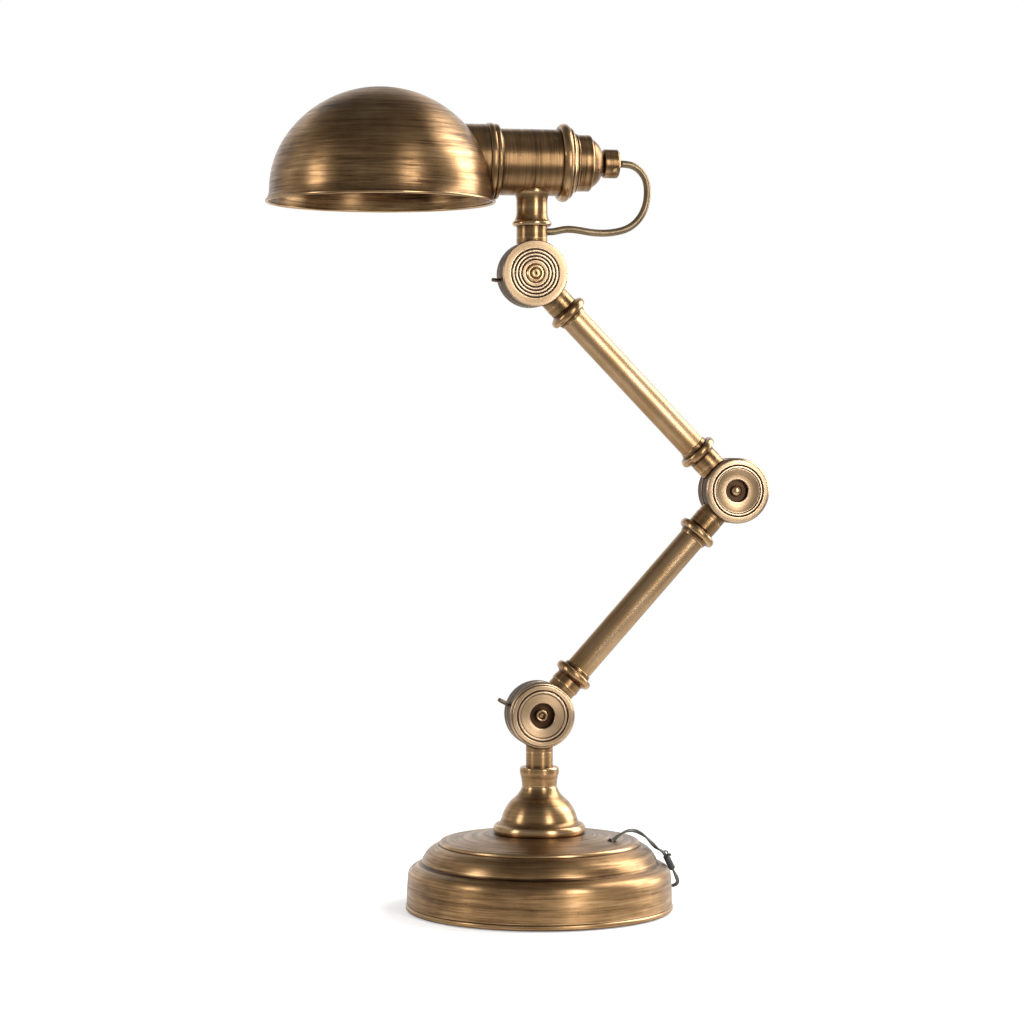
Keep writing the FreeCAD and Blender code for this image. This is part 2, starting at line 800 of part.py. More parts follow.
def make_holder_fittings():
    """The rear ring, stepped cap, cord grip with its grub screw, and sleeve, all on the holder's axis."""
    axis = aimed((0, 0, number("holder_height")), ALONG_X)
    ring = [
        (("holder_radius", 0.05), 12.6),
        (24.2, 12.6),
        ("arc", 25.9, 15.2),
        (24.9, 18.6),
        (23.5, 19.0),
        (23.5, 20.4),
        (22.6, 21.3),
        (19.0, 21.3),
        (19.0, 20.1),
        (("holder_radius", 0.05), 20.1),
    ]
    keep(turned("holder_ring", ring), "holder_ring", axis)
    cap = [
        (16.8, 21.4),
        (20.6, 21.4),
        (20.8, 22.2),
        (20.2, 22.7),
        (19.4, 22.9),
        (19.6, 23.7),
        (19.4, 24.5),
        (18.7, 24.8),
        (18.7, 33.2),
        (17.9, 34.1),
        (16.4, 34.5),
        ("arc", 12.8, 39.2),
        (8.3, 41.6),
        (6.6, 41.8),
        (6.1, 41.8),
        (6.1, 38.6),
        (11.4, 36.4),
        (15.2, 32.4),
        (16.8, 30.6),
    ]
    keep(turned("holder_cap", cap), "holder_cap", axis)
    grip = [
        (3.4, 38.8),
        (6.0, 38.8),
        (6.0, 42.9),
        (8.8, 42.9),
        (9.6, 43.6),
        (9.6, 52.2),
        (8.6, 53.3),
        (3.4, 53.3),
    ]
    nut = turned("cord_grip_body", grip)
    nut.Placement = axis
    height = number("holder_height")
    toward = V(0, -0.86, -0.51)
    tap = rod("grub_hole", 1.6, 8.0, aimed(V(49.4, 0, height) + toward * 3.0, toward))
    keep(cut("cord_grip_nut", nut, tap), "cord_grip_nut")
    grub = turned("grub_screw", [(0, 3.6), (1.5, 3.6), (1.5, 9.6), (1.2, 10.0), (0, 10.0)])
    keep(grub, "grub_screw", aimed((49.4, 0, height), toward))
    sleeve = [(0, 46.0), (3.3, 46.0), (3.3, 53.4), (3.0, 54.2), (2.5, 54.6), (0, 54.6)]
    keep(turned("cord_sleeve", sleeve), "cord_sleeve", axis)
    keep(tube_on("head_cord_loop", LOOP_ROUTE, number("loop_radius")), "head_cord_loop")


def make_socket_and_bulb():
    """The screw socket inside the holder and the small globe bulb in it."""
    axis = aimed((0, 0, number("holder_height")), ALONG_X)
    insulator = [
        (3.3, 13.0),
        (14.6, 13.0),
        (14.6, -16.0),
        (17.0, -16.0),
        (17.0, 14.5),
        (20.3, 14.5),
        (20.3, 19.4),
        (3.3, 19.4),
    ]
    keep(turned("socket_insulator", insulator), "socket_insulator", axis)
    shell = [(13.7, -15.0), (14.4, -15.0), (14.4, 12.9), (6.0, 12.9), (6.0, 12.3), (13.7, 12.3)]
    keep(turned("socket_shell", shell), "socket_shell", axis)
    contact = [(0, 10.6), (2.4, 10.6), (3.2, 12.2), (3.2, 19.4), (0, 19.4)]
    keep(turned("socket_contact", contact), "socket_contact", axis)
    cap = [
        (0, -18.0),
        (12.6, -18.0),
        (13.2, -17.0),
        (13.2, 4.6),
        (11.6, 6.4),
        (6.0, 8.6),
        (4.4, 9.6),
        (2.6, 10.4),
        (0, 10.4),
    ]
    keep(turned("bulb_cap", cap), "bulb_cap", axis)
    glass = globe_outline(number("globe_radius"), 12.4)
    inside = globe_outline(number("globe_radius") - 1.0, 11.4)
    inside.reverse()
    keep(turned("bulb_glass", glass + inside), "bulb_glass", axis)


def globe_outline(radius, neck):
    """Half of the bulb's globe and neck, from its tip back to the cap."""
    middle = number("globe_middle")
    halfway, end = math.radians(60), math.radians(110)
    return [
        (0, middle - radius),
        ("arc", radius * math.sin(halfway), middle - radius * math.cos(halfway)),
        (radius * math.sin(end), middle - radius * math.cos(end)),
        ("arc", neck + 2.8, -44.0),
        (neck, -34.0),
        (neck, -18.1),
    ]


def dome_outline(inset):
    """The dome from its top down to its widest: a round crown, and a tighter round side that meets it.

    The crown's centre lies on the dome's axis, a drop below the widest level. The side's centre lies
    on that level.
    """
    radius, rise, drop = number("shade_radius"), number("shade_rise"), number("crown_drop")
    middle = number("shade_middle")
    slack = rise + drop - radius
    aside = (drop**2 - slack**2) / (2 * slack)
    crown, side = rise + drop - inset, radius - aside - inset
    lean = math.atan2(aside, drop)
    upper, lower = lean / 2, (lean + math.pi / 2) / 2
    return [
        (0, middle - drop + crown),
        ("arc", crown * math.sin(upper), middle - drop + crown * math.cos(upper)),
        (crown * math.sin(lean), middle - drop + crown * math.cos(lean)),
        ("arc", aside + side * math.sin(lower), middle + side * math.cos(lower)),
        (aside + side, middle),
    ]


def make_shade():
    """The dome with its flared, rolled rim, and the collar that holds it to the lampholder."""
    radius, wall = number("shade_radius"), number("shade_wall")
    rim, low = number("rim_radius"), number("rim_height")
    outer = dome_outline(0.0) + [
        ("arc", radius + 0.5, low + 5.0),
        (rim - 0.9, low + 2.2),
        ("arc", rim, low + 1.1),
        (rim - 0.9, low),
        ("arc", rim - 1.9, low + 0.6),
        (rim - 2.0, low + 1.6),
        (radius - wall + 0.4, low + 5.0),
    ]
    inner = dome_outline(wall)
    inner.reverse()
    dome = turned("shade_dome", outer + inner)
    dome.Placement = upright(number("shade_centre"), 0, 0)
    axis = aimed((0, 0, number("holder_height")), ALONG_X)
    opening = [(0, -58.0), ("sleeve_radius", -58.0), ("sleeve_radius", -36.2)]
    opening += [(25.9, -36.2), (25.9, -30.0), (0, -30.0)]
    room = turned("collar_room", opening)
    room.Placement = axis
    keep(cut("shade", dome, room), "shade")
    make_shade_collar(axis, inner)


def make_shade_collar(axis, inner):
    """The collar soldered into the dome, which turns on the holder's spigot, and its retaining ring."""
    collar = [
        (("spigot_front", 0.08), -40.0),
        (23.6, -40.0),
        (23.6, -56.0),
        (("sleeve_radius", -0.1), -56.0),
        (("sleeve_radius", -0.1), -36.0),
        (25.3, -35.9),
        ("arc", 25.7, -33.9),
        (25.3, -32.0),
        (("spigot_front", 0.08), -32.0),
    ]
    whole = turned("shade_collar_whole", collar)
    whole.Placement = axis
    below = number("rim_height") - 5.0
    hollow = turned("shade_hollow", [(0, below), (inner[0][0], below)] + inner)
    hollow.Placement = upright(number("shade_centre"), 0, 0)
    keep(cut("shade_collar", whole, hollow), "shade_collar")
    keeper = [
        (("spigot_front", 0.04), -43.6),
        (23.2, -43.6),
        (23.2, -40.3),
        (("spigot_front", 0.04), -40.3),
    ]
    keep(turned("shade_ring", keeper), "shade_ring", axis)


# ---------------------------------------------------------------- mains cord


def coil_samples(layer_turns, pitch, inner, quarter_steps):
    """Samples along the coil: angle, radius, height, and how fast it spreads and climbs there."""
    radius_of_wire = number("lead_radius")
    outer = inner + pitch * layer_turns[0]
    samples = []
    angle = 0.0
    radius = outer
    height = radius_of_wire
    step = 360.0 / quarter_steps
    for layer, turns in enumerate(layer_turns):
        sense = -1.0 if layer % 2 == 0 else 1.0
        count = round(turns * quarter_steps)
        for _ in range(count):
            samples.append((angle, radius, height, sense, 0.0))
            angle += step
            radius += sense * pitch / quarter_steps
        if layer == len(layer_turns) - 1:
            samples.append((angle, radius, height, sense, 0.0))
            break
        swell = pitch / quarter_steps
        half = quarter_steps // 2
        for k in range(half):
            share = k / half
            ease = 3 * share**2 - 2 * share**3
            slope = 6 * share * (1 - share)
            turn = sense * (1 - 2 * share)
            bulge = sense * swell * 2 * share * (1 - share)
            samples.append((angle + k * step, radius + bulge, height + pitch * ease, turn, slope))
        angle += 180.0
        height += pitch
    return samples


def biarc(start, heading, end, finish):
    """Two tangent arcs from one point and heading to another."""
    gap = end - start
    both = heading + finish
    a = 2 * (1 - heading.dot(finish))
    b = 2 * gap.dot(both)
    c = -gap.dot(gap)
    reach = (-b + math.sqrt(b * b - 4 * a * c)) / (2 * a) if a > 1e-9 else -c / b
    first = start + heading * reach
    second = end - finish * reach
    joint = (first + second) * 0.5
    arcs = []
    for p, tangent, q, q_tangent in ((start, heading, joint, None), (joint, None, end, finish)):
        corner = first if tangent is not None else second
        toward = ((p - corner).normalize() + (q - corner).normalize()).normalize()
        half = (p - corner).getAngle(q - corner) / 2
        leg = (p - corner).Length
        radius = leg * math.tan(half)
        centre = corner + toward * (leg / math.cos(half))
        arcs.append((p, centre - toward * radius, q, radius))
    return arcs


def make_coil():
    """The put-away length wound in a neat round coil of four layers, one unbroken tube."""
    pitch, inner, radius_of_wire = number("coil_pitch"), number("coil_inner"), number("lead_radius")
    samples = coil_samples(TURNS_IN_LAYER, pitch, inner, QUARTERS)
    spots = []
    for angle, radius, height, sense, slope in samples:
        turn = math.radians(COIL_START + angle)
        spot = V(COIL_MIDDLE[0] + radius * math.cos(turn), COIL_MIDDLE[1] + radius * math.sin(turn), height)
        outward = V(math.cos(turn), math.sin(turn), 0)
        around = V(-math.sin(turn), math.cos(turn), 0)
        heading = around * radius + outward * (sense * pitch / (2 * math.pi)) + UP * (slope * pitch / math.pi)
        spots.append((spot, heading.normalize()))
    diameter = 2 * radius_of_wire
    first, last = spots[0], spots[-1]
    start = first[0] - first[1] * diameter
    end = last[0] + last[1] * diameter
    edges = [Part.LineSegment(start, first[0]).toShape()]
    tightest = 1000.0
    for (here, heading), (there, finish) in zip(spots, spots[1:]):
        for p, middle, q, radius in biarc(here, heading, there, finish):
            edges.append(Part.Arc(p, middle, q).toShape())
            tightest = min(tightest, radius)
    edges.append(Part.LineSegment(last[0], end).toShape())
    path = Part.Wire(edges)
    shape = piped(path, radius_of_wire, start, first[1])
    ratio = shape.Volume / (math.pi * radius_of_wire**2 * path.Length)
    loops = samples[-1][0] / 360
    print(f"mains_cord_coil: {loops:.2f} loops, {path.Length:.0f} mm, tightest {tightest:.1f}")
    print(f"   volume ratio {ratio:.4f}")
    print(f"   least gap to itself {least_gap(path, diameter):.2f} mm")
    print(f"   starts {start} heading {first[1]}")
    print(f"   ends {end} heading {last[1]}")
    keep(solid_feature("mains_cord_coil", shape), "mains_cord_coil")


def least_gap(path, diameter):
    """The least clear distance between turns, measured on points 1 mm apart along the path."""
    points = path.discretize(Distance=1.0)
    apart = int(3.0 * diameter)
    closest = 1000.0
    for index, spot in enumerate(points):
        for other in points[index + apart:]:
            closest = min(closest, spot.distanceToPoint(other))
    return closest - diameter


def make_cord():
    """The free stretch from the base to the coil, and the tail from the coil to the plug."""
    radius = number("lead_radius")
    keep(tube_on("mains_cord", CORD_ROUTE, radius), "mains_cord")
    keep(tube_on("mains_cord_tail", TAIL_ROUTE, radius), "mains_cord_tail")


def make_tie():
    """The dark binding on the cord, with the small loop at its top and its knotted end."""
    top, bottom = V(*CORD_ROUTE[7]), V(*CORD_ROUTE[8])
    down = (bottom - top).normalize()
    start = top + down * 3.2
    end = bottom - down * 1.2
    length = (end - start).Length
    section = [(1.4, 0), (2.0, 0), (2.3, 0.6), (2.3, length - 0.6), (2.0, length), (1.4, length)]
    wrap = turned("tie_wrap", section)
    wrap.Placement = aimed(start, down)
    eye = doc.addObject("Part::Torus", "tie_eye")
    eye.Radius1 = 1.6
    eye.Radius2 = 0.55
    eye.Placement = aimed(start + V(-0.4, -0.55, 1.7), V(-0.17, -0.98, 0))
    knot = doc.addObject("Part::Sphere", "tie_knot")
    knot.Radius = 1.2
    knot.Placement = upright(*(start + V(2.7, 0.5, 0.4)))
    keep(joined("cord_tie", [wrap, eye, knot]), "cord_tie")


def make_plug():
    """A flat two-blade plug at the end of the cord."""
    body = doc.addObject("PartDesign::Body", "plug_body")
    outline = sketch_on(body, "plug_outline", "XY_Plane")
    half_width, half_height = 12.0, number("plug_height") / 2
    corners = [(-half_width, -half_height), (half_width, -half_height), (half_width, half_height)]
    draw(outline, corners + [(-half_width, half_height)])
    pad = body.newObject("PartDesign::Pad", "plug_pad")
    pad.Profile = outline
    bind(pad, "Length", "plug_length")
    doc.recompute()
    fillet = body.newObject("PartDesign::Fillet", "plug_round")
    fillet.Base = (pad, [f"Edge{k + 1}" for k in range(len(pad.Shape.Edges))])
    fillet.Radius = 2.4
    body.Tip = fillet
    heading = math.radians(PLUG_HEADING)
    along = V(math.cos(heading), math.sin(heading), 0)
    across = V(-math.sin(heading), math.cos(heading), 0)
    turn = FreeCAD.Rotation(across, UP, along, "ZXY")
    place = FreeCAD.Placement(V(*TAIL_ROUTE[-1]), turn)
    keep(body, "plug_body", place)
    blades = []
    thickness, width = 1.5, 6.35
    for k, shift in enumerate((-6.35, 6.35)):
        blade = doc.addObject("Part::Box", f"plug_blade_{k}")
        blade.Length = thickness
        blade.Width = width
        blade.Height = 17.0
        blade.Placement = upright(shift - thickness / 2, -width / 2, number("plug_length"))
        blades.append(blade)
    pair = doc.addObject("Part::Compound", "plug_blades")
    pair.Links = blades
    keep(pair, "plug_blades", place)


# ---------------------------------------------------------------- the lamp


def bolt_heads():
    """The three visible bolt heads: a ringed one, a round one and the target's hub."""
    ringed = [(0, -8.4), (1.7, -8.4), (2.2, -9.2), (2.6, -10.4), (3.6, -10.4), (4.1, -9.8), (4.1, -6.7)]
    round_head = [(0, -10.4), ("arc", 2.3, -9.9), (3.7, -8.6), (3.7, -6.7)]
    hub = [(0, -13.2), (0.7, -13.2), (1.1, -13.9), (2.6, -13.9), (2.9, -13.3)]
    hub += [(3.6, -13.1), (4.2, -13.5), (5.2, -13.5), (5.9, -12.8), (5.9, -6.7)]
    return ringed, round_head, hub


def make_lamp():
    """Every sub-part of the lamp, from the base up."""
    lower = V(0, 0, number("lower_height"))
    make_base_shell()
    make_base_floor()
    make_base_stack()
    make_base_lead()
    make_post(lower)
    elbow = make_arm("lower_arm", lower, number("lower_angle"), (34.9, 38.0), (10.2, 9.6), (-1, -1),
                     (lower_face(), elbow_face()))
    head = make_arm("upper_arm", elbow, number("upper_angle"), (36.0, 35.4), (9.6, 9.6), (1, 1),
                    (back_face(), back_face()))
    make_stem(head)
    ringed, round_head, hub = bolt_heads()
    make_pivot("lower_pivot", lower, ringed, -6.7)
    make_pivot("elbow_pivot", elbow, round_head, -6.7)
    make_pivot("head_pivot", head, hub, -6.7)
    make_cam_lever("lower_clamp_lever", lower, (-19.7, 6.1), (-28.0, 10.5), 1.45)
    make_cam_lever("head_clamp_lever", head, (-20.4, -4.6), (-27.3, -3.8), 1.3)
    make_friction_washer("elbow_friction_washer", elbow)
    make_holder_body(head)
    make_holder_fittings()
    make_socket_and_bulb()
    make_shade()
    make_cord()
    make_coil()
    make_tie()
    make_plug()


def check_and_write():
    """Stops on any failed object, then writes one file for each sub-part."""
    doc.recompute()
    for item in doc.Objects:
        if "Invalid" in item.State or "Error" in item.State:
            raise RuntimeError(f"{item.Label} failed: {item.State}")
    os.makedirs("parts", exist_ok=True)
    for label, item in kept.items():
        shape = item.Shape
        if shape.isNull() or not shape.isValid() or not shape.Solids:
            raise RuntimeError(f"{label} has no valid solid")
    for label, item in kept.items():
        item.Shape.exportStep(f"parts/{label}.step")
    print(len(kept), "sub-parts written")


fill_sheet()
make_lamp()
check_and_write()
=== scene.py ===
"""The looks of a two-arm brass desk lamp with a dome shade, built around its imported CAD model.

Turned pieces are meshes spun from the same outlines as the solids, with their edges eased and the wear
of the brass kept as a value on each vertex. Sizes are millimetres until a mesh is made, and metres after.
"""

import logging
import math
import random
from dataclasses import dataclass, field
from enum import Enum
from typing import Any, Iterable, Sequence

import bpy
from mathutils import Matrix, Vector


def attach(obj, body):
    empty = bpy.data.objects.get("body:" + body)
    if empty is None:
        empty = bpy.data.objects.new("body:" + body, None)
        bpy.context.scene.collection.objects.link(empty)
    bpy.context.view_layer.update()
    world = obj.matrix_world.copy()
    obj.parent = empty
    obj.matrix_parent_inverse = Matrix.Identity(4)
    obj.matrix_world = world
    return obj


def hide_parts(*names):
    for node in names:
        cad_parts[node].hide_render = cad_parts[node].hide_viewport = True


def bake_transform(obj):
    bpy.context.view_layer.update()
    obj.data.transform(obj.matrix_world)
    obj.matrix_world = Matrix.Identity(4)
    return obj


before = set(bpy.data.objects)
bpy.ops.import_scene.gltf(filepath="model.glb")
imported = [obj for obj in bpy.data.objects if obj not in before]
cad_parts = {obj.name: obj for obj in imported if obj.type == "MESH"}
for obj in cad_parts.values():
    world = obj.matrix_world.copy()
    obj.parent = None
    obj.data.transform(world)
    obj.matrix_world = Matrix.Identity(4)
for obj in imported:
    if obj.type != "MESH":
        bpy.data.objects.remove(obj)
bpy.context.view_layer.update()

LOG = logging.getLogger("desk_lamp")
MM = 0.001
FULL_TURN = 2 * math.pi

Colour = tuple[float, float, float]
Point = tuple[float, float, float]
Outline = Sequence[tuple]

# ---------------------------------------------------------------- places


def upright(x: float = 0.0, y: float = 0.0, z: float = 0.0) -> Matrix:
    """A place with no turn, from millimetres."""
    return Matrix.Translation(Vector((x, y, z)) * MM)


def aimed(start: Iterable[float], direction: Iterable[float]) -> Matrix:
    """A place at a point, with local Z along a direction.

    Args:
        start: the place's origin, in millimetres.
        direction: where local Z points.

    Returns:
        The place as a matrix in metres.
    """
    turn = Vector((0, 0, 1)).rotation_difference(Vector(direction))
    return Matrix.Translation(Vector(start) * MM) @ turn.to_matrix().to_4x4()


def member(centre: Vector, angle: float) -> Matrix:
    """A knuckle's place: local Z runs out along the member, at an angle in degrees above +X."""
    return Matrix.Translation(centre * MM) @ Matrix.Rotation(math.radians(90.0 - angle), 4, "Y")


def disc_place(place: Matrix) -> Matrix:
    """The place of a disc in a knuckle: local Z along the pivot, towards the lamp's back."""
    return place @ Matrix.Rotation(math.radians(-90.0), 4, "X")


LOWER = Vector((0.0, 0.0, 130.4))
LOWER_ANGLE = 48.2
UPPER_ANGLE = 133.8
ARM_LENGTH = 200.0


def reach(start: Vector, angle: float) -> Vector:
    """The pivot at an arm's far end, from the one at its near end."""
    turn = math.radians(angle)
    return start + Vector((math.cos(turn), 0.0, math.sin(turn))) * ARM_LENGTH


ELBOW = reach(LOWER, LOWER_ANGLE)
HEAD = reach(ELBOW, UPPER_ANGLE)
HOLDER_HEIGHT = 498.0
HOLDER_AXIS = aimed((0, 0, HOLDER_HEIGHT), (1, 0, 0))

# ---------------------------------------------------------------- outlines and turned meshes

STEP_ANGLE = 9.0
STEP_LENGTH = 2.2
SHARP_TURN = math.radians(16)
WIDE_TURN = math.radians(45)
FULL_WEAR_TURN = math.radians(55)
EDGE_HOLD = 0.45
SPOKE_LENGTH = 1.1
SPOKES = (48, 200)
CREASE = math.radians(32)
AXIS_GAP = 1e-6


def round_stretch(start: Sequence[float], through: Sequence[float], end: Sequence[float]) -> list:
    """Points of the circle through three points, between the first and the last.

    Args:
        start: the corner before the round stretch.
        through: a point that it passes through.
        end: the corner after it.

    Returns:
        The points strictly between the two corners.
    """
    (ax, ay), (bx, by), (cx, cy) = start[:2], through[:2], end[:2]
    d = 2 * (ax * (by - cy) + bx * (cy - ay) + cx * (ay - by))
    sa, sb, sc = ax * ax + ay * ay, bx * bx + by * by, cx * cx + cy * cy
    ux = (sa * (by - cy) + sb * (cy - ay) + sc * (ay - by)) / d
    uy = (sa * (cx - bx) + sb * (ax - cx) + sc * (bx - ax)) / d
    radius = math.hypot(ax - ux, ay - uy)
    first = math.atan2(ay - uy, ax - ux)
    middle = (math.atan2(by - uy, bx - ux) - first) % (FULL_TURN)
    sweep = (math.atan2(cy - uy, cx - ux) - first) % (FULL_TURN)
    if middle > sweep:
        sweep -= FULL_TURN
    length = abs(sweep) * radius
    steps = max(4, math.ceil(abs(math.degrees(sweep)) / STEP_ANGLE), math.ceil(length / STEP_LENGTH))
    turns = [first + sweep * k / steps for k in range(1, steps)]
    return [(ux + radius * math.cos(t), uy + radius * math.sin(t)) for t in turns]


def drum(inner: float, outer: float, low: float, high: float) -> list[tuple[float, float]]:
    """A plain outline of four corners, for a tube, a ring or a cutting tool."""
    return [(inner, low), (outer, low), (outer, high), (inner, high)]


@dataclass(frozen=True)
class Section:
    """A closed outline made ready to turn: its points and how worn or sheltered each is."""

    points: list
    wear: list

    @staticmethod
    def eased(outline: Outline, edge: float) -> "Section":
        """Rounds an outline's corners and reads the wear from how it bends.

        Args:
            outline: corners as (radius, height), with ("arc", radius, height) for a round stretch.
            edge: the radius of the eased corners, in millimetres.

        Returns:
            The section, with wear from -1 in a recess to 1 on an edge.
        """
        rough = []
        count = len(outline)
        for index, entry in enumerate(outline):
            if entry[0] == "arc":
                after = outline[(index + 1) % count]
                stretch = round_stretch(outline[index - 1], entry[1:], after)
                rough += [(r, z, False) for r, z in stretch]
            else:
                rough.append((entry[0], entry[1], True))
        total = len(rough)
        area = 0.0
        for (r0, z0, _), (r1, z1, _) in zip(rough, rough[1:] + rough[:1]):
            area += r0 * z1 - r1 * z0
        sense = 1.0 if area > 0 else -1.0
        points, wear = [], []
        for index in range(total):
            before, here, after = rough[index - 1], rough[index], rough[(index + 1) % total]
            into = Vector((here[0] - before[0], here[1] - before[1]))
            out = Vector((after[0] - here[0], after[1] - here[1]))
            turn = math.atan2(into.x * out.y - into.y * out.x, into.dot(out)) * sense
            mean = (into.length + out.length) / 2
            spot = Vector((here[0], here[1]))
            sharp = edge > 0 and here[2] and abs(turn) > SHARP_TURN and here[0] > AXIS_GAP
            if not sharp:
                points.append(spot)
                wear.append(max(-0.7, min(0.7, 1.6 * turn / max(mean, 0.4))))
                continue
            cut = min(edge * math.tan(abs(turn) / 2), 0.42 * into.length, 0.42 * out.length)
            first, last = spot - into.normalized() * cut, spot + out.normalized() * cut
            if into.length > 2 * (cut + EDGE_HOLD) + 0.3:
                points.append(first - into.normalized() * EDGE_HOLD)
                wear.append(0.0)
            bend = max(-1.0, min(1.0, turn / FULL_WEAR_TURN))
            steps = 3 if abs(turn) > WIDE_TURN else 2
            for k in range(steps + 1):
                t = k / steps
                points.append(first * (1 - t) ** 2 + spot * (2 * t * (1 - t)) + last * t**2)
                wear.append(bend * (0.75 + 0.5 * t * (1 - t)))
            if out.length > 2 * (cut + EDGE_HOLD) + 0.3:
                points.append(last + out.normalized() * EDGE_HOLD)
                wear.append(0.0)
        if sense < 0:
            points.reverse()
            wear.reverse()
        return Section([(max(p.x, 0.0), p.y) for p in points], wear)


def new_piece(name: str, vertices: list, faces: list, place: Matrix) -> bpy.types.Object:
    """A smooth-shaded mesh piece at its place, from vertices in metres."""
    mesh = bpy.data.meshes.new(name)
    mesh.from_pydata(vertices, [], faces)
    mesh.validate()
    mesh.shade_smooth()
    piece = bpy.data.objects.new(name, mesh)
    bpy.context.scene.collection.objects.link(piece)
    piece.matrix_world = place
    return piece


def note_values(piece: bpy.types.Object, layer: str, values: Sequence[float]) -> None:
    """Keeps one number for each vertex, for the finishes to read."""
    piece.data.attributes.new(layer, "FLOAT", "POINT").data.foreach_set("value", values)


def turned(name: str, outline: Outline, place: Matrix, edge: float = 0.3) -> bpy.types.Object:
    """A piece turned about its local Z from a closed outline of (radius, height).

    Args:
        name: the piece's name.
        outline: its corners and round stretches, in millimetres.
        place: where its local frame is.
        edge: the radius of its eased corners.

    Returns:
        The piece, with its wear on each vertex.
    """
    section = Section.eased(outline, edge)
    widest = max(r for r, _ in section.points)
    spokes = max(SPOKES[0], min(SPOKES[1], int(FULL_TURN * widest / SPOKE_LENGTH) // 4 * 4))
    spin = [(math.cos(FULL_TURN * k / spokes), math.sin(FULL_TURN * k / spokes)) for k in range(spokes)]
    vertices, wear, rings = [], [], []
    for (r, z), value in zip(section.points, section.wear):
        pole = r < AXIS_GAP
        rings.append((len(vertices), pole))
        ring = [(0.0, 0.0, z * MM)] if pole else [(r * c * MM, r * s * MM, z * MM) for c, s in spin]
        vertices += ring
        wear += [value] * len(ring)
    faces = []
    for (low, low_pole), (high, high_pole) in zip(rings, rings[1:] + rings[:1]):
        if low_pole and high_pole:
            continue
        for k in range(spokes):
            n = (k + 1) % spokes
            if low_pole:
                faces.append((low, high + n, high + k))
            elif high_pole:
                faces.append((low + k, low + n, high))
            else:
                faces.append((low + k, low + n, high + n, high + k))
    piece = new_piece(name, vertices, faces, place)
    note_values(piece, "wear", wear)
    return piece


def trim(piece: bpy.types.Object, tool: bpy.types.Object) -> bpy.types.Object:
    """Cuts one mesh with another and throws the tool away.

    Args:
        piece: the piece that is cut, in place.
        tool: the cutting mesh, in place.

    Returns:
        The piece with its new mesh.
    """
    bpy.context.view_layer.update()
    step = piece.modifiers.new("cut", "BOOLEAN")
    step.operation = "DIFFERENCE"
    step.solver = "EXACT"
    step.object = tool
    bpy.context.view_layer.update()
    shaped = piece.evaluated_get(bpy.context.evaluated_depsgraph_get())
    mesh = bpy.data.meshes.new_from_object(shaped)
    piece.modifiers.clear()
    old = piece.data
    piece.data = mesh
    mesh.name = piece.name
    bpy.data.meshes.remove(old)
    bpy.data.objects.remove(tool)
    mesh.set_sharp_from_angle(angle=CREASE)
    return piece


# ---------------------------------------------------------------- routes and tubes


def points_along(route: Iterable[Point]) -> list[Vector]:
    """Points in metres along the smooth curve that a route in millimetres controls."""
    spots = [[value * MM for value in spot] for spot in route]
    curve = bpy.data.curves.new("route", "CURVE")
    curve.dimensions = "3D"
    spline = curve.splines.new("NURBS")
    spline.points.add(len(spots) - 1)
    for point, spot in zip(spline.points, spots):
        point.co = (*spot, 1.0)
    spline.order_u = 3
    spline.use_endpoint_u = True
    spline.resolution_u = 6
    line = bpy.data.objects.new("route", curve)
    bpy.context.scene.collection.objects.link(line)
    bpy.context.view_layer.update()
    mesh = bpy.data.meshes.new_from_object(line.evaluated_get(bpy.context.evaluated_depsgraph_get()))
    smooth = [vertex.co.copy() for vertex in mesh.vertices]
    bpy.data.meshes.remove(mesh)
    bpy.data.objects.remove(line)
    bpy.data.curves.remove(curve)
    return smooth


def frames_along(spots: Sequence[Vector]) -> list[tuple[Vector, Vector]]:
    """Two directions across the line at each of its points, turning no more than the line does."""
    count = len(spots)
    heading = (spots[1] - spots[0]).normalized()
    side = heading.orthogonal().normalized()
    frames = []
    for index in range(count):
        last, after = spots[max(index - 1, 0)], spots[min(index + 1, count - 1)]
        now = (after - last).normalized()
        side = (heading.rotation_difference(now) @ side).normalized()
        side = (side - now * side.dot(now)).normalized()
        heading = now
        frames.append((side.copy(), now.cross(side).normalized()))
    return frames


def loft(name: str, rings: Sequence[Sequence[Iterable[float]]], place: Matrix) -> bpy.types.Object:
    """A closed piece through rings of points in metres, with a flat cap at each end."""
    sides = len(rings[0])
    faces = []
    for low in range(0, (len(rings) - 1) * sides, sides):
        for k in range(sides):
            n = (k + 1) % sides
            faces.append((low + k, low + n, low + sides + n, low + sides + k))
    faces.append(tuple(reversed(range(sides))))
    faces.append(tuple(range((len(rings) - 1) * sides, len(rings) * sides)))
    return new_piece(name, [tuple(spot) for ring in rings for spot in ring], faces, place)


def tube_along(
    name: str,
    spots: Sequence[Vector],
    shape: Sequence[tuple[float, float]],
    twist: float = 0.0,
    scale: Sequence[float] | None = None,
) -> bpy.types.Object:
    """A closed tube with any cross-section that follows a line.

    Args:
        name: the piece's name.
        spots: the line's points, in metres.
        shape: the cross-section's corners, in millimetres.
        twist: full turns of the cross-section for each metre.
        scale: a size factor for each point, or none.

    Returns:
        The piece, with the way along it, in metres, on each vertex as "run".
    """
    rings, run = [], []
    gone = 0.0
    for index, (spot, (side, up)) in enumerate(zip(spots, frames_along(spots))):
        if index:
            gone += (spot - spots[index - 1]).length
        turn = FULL_TURN * twist * gone
        c, s = math.cos(turn), math.sin(turn)
        size = MM * (scale[index] if scale else 1.0)
        turned_shape = [(u * c - v * s, u * s + v * c) for u, v in shape]
        rings.append([spot + side * (u * size) + up * (v * size) for u, v in turned_shape])
        run += [gone] * len(shape)
    piece = loft(name, rings, Matrix.Identity(4))
    note_values(piece, "run", run)
    return piece


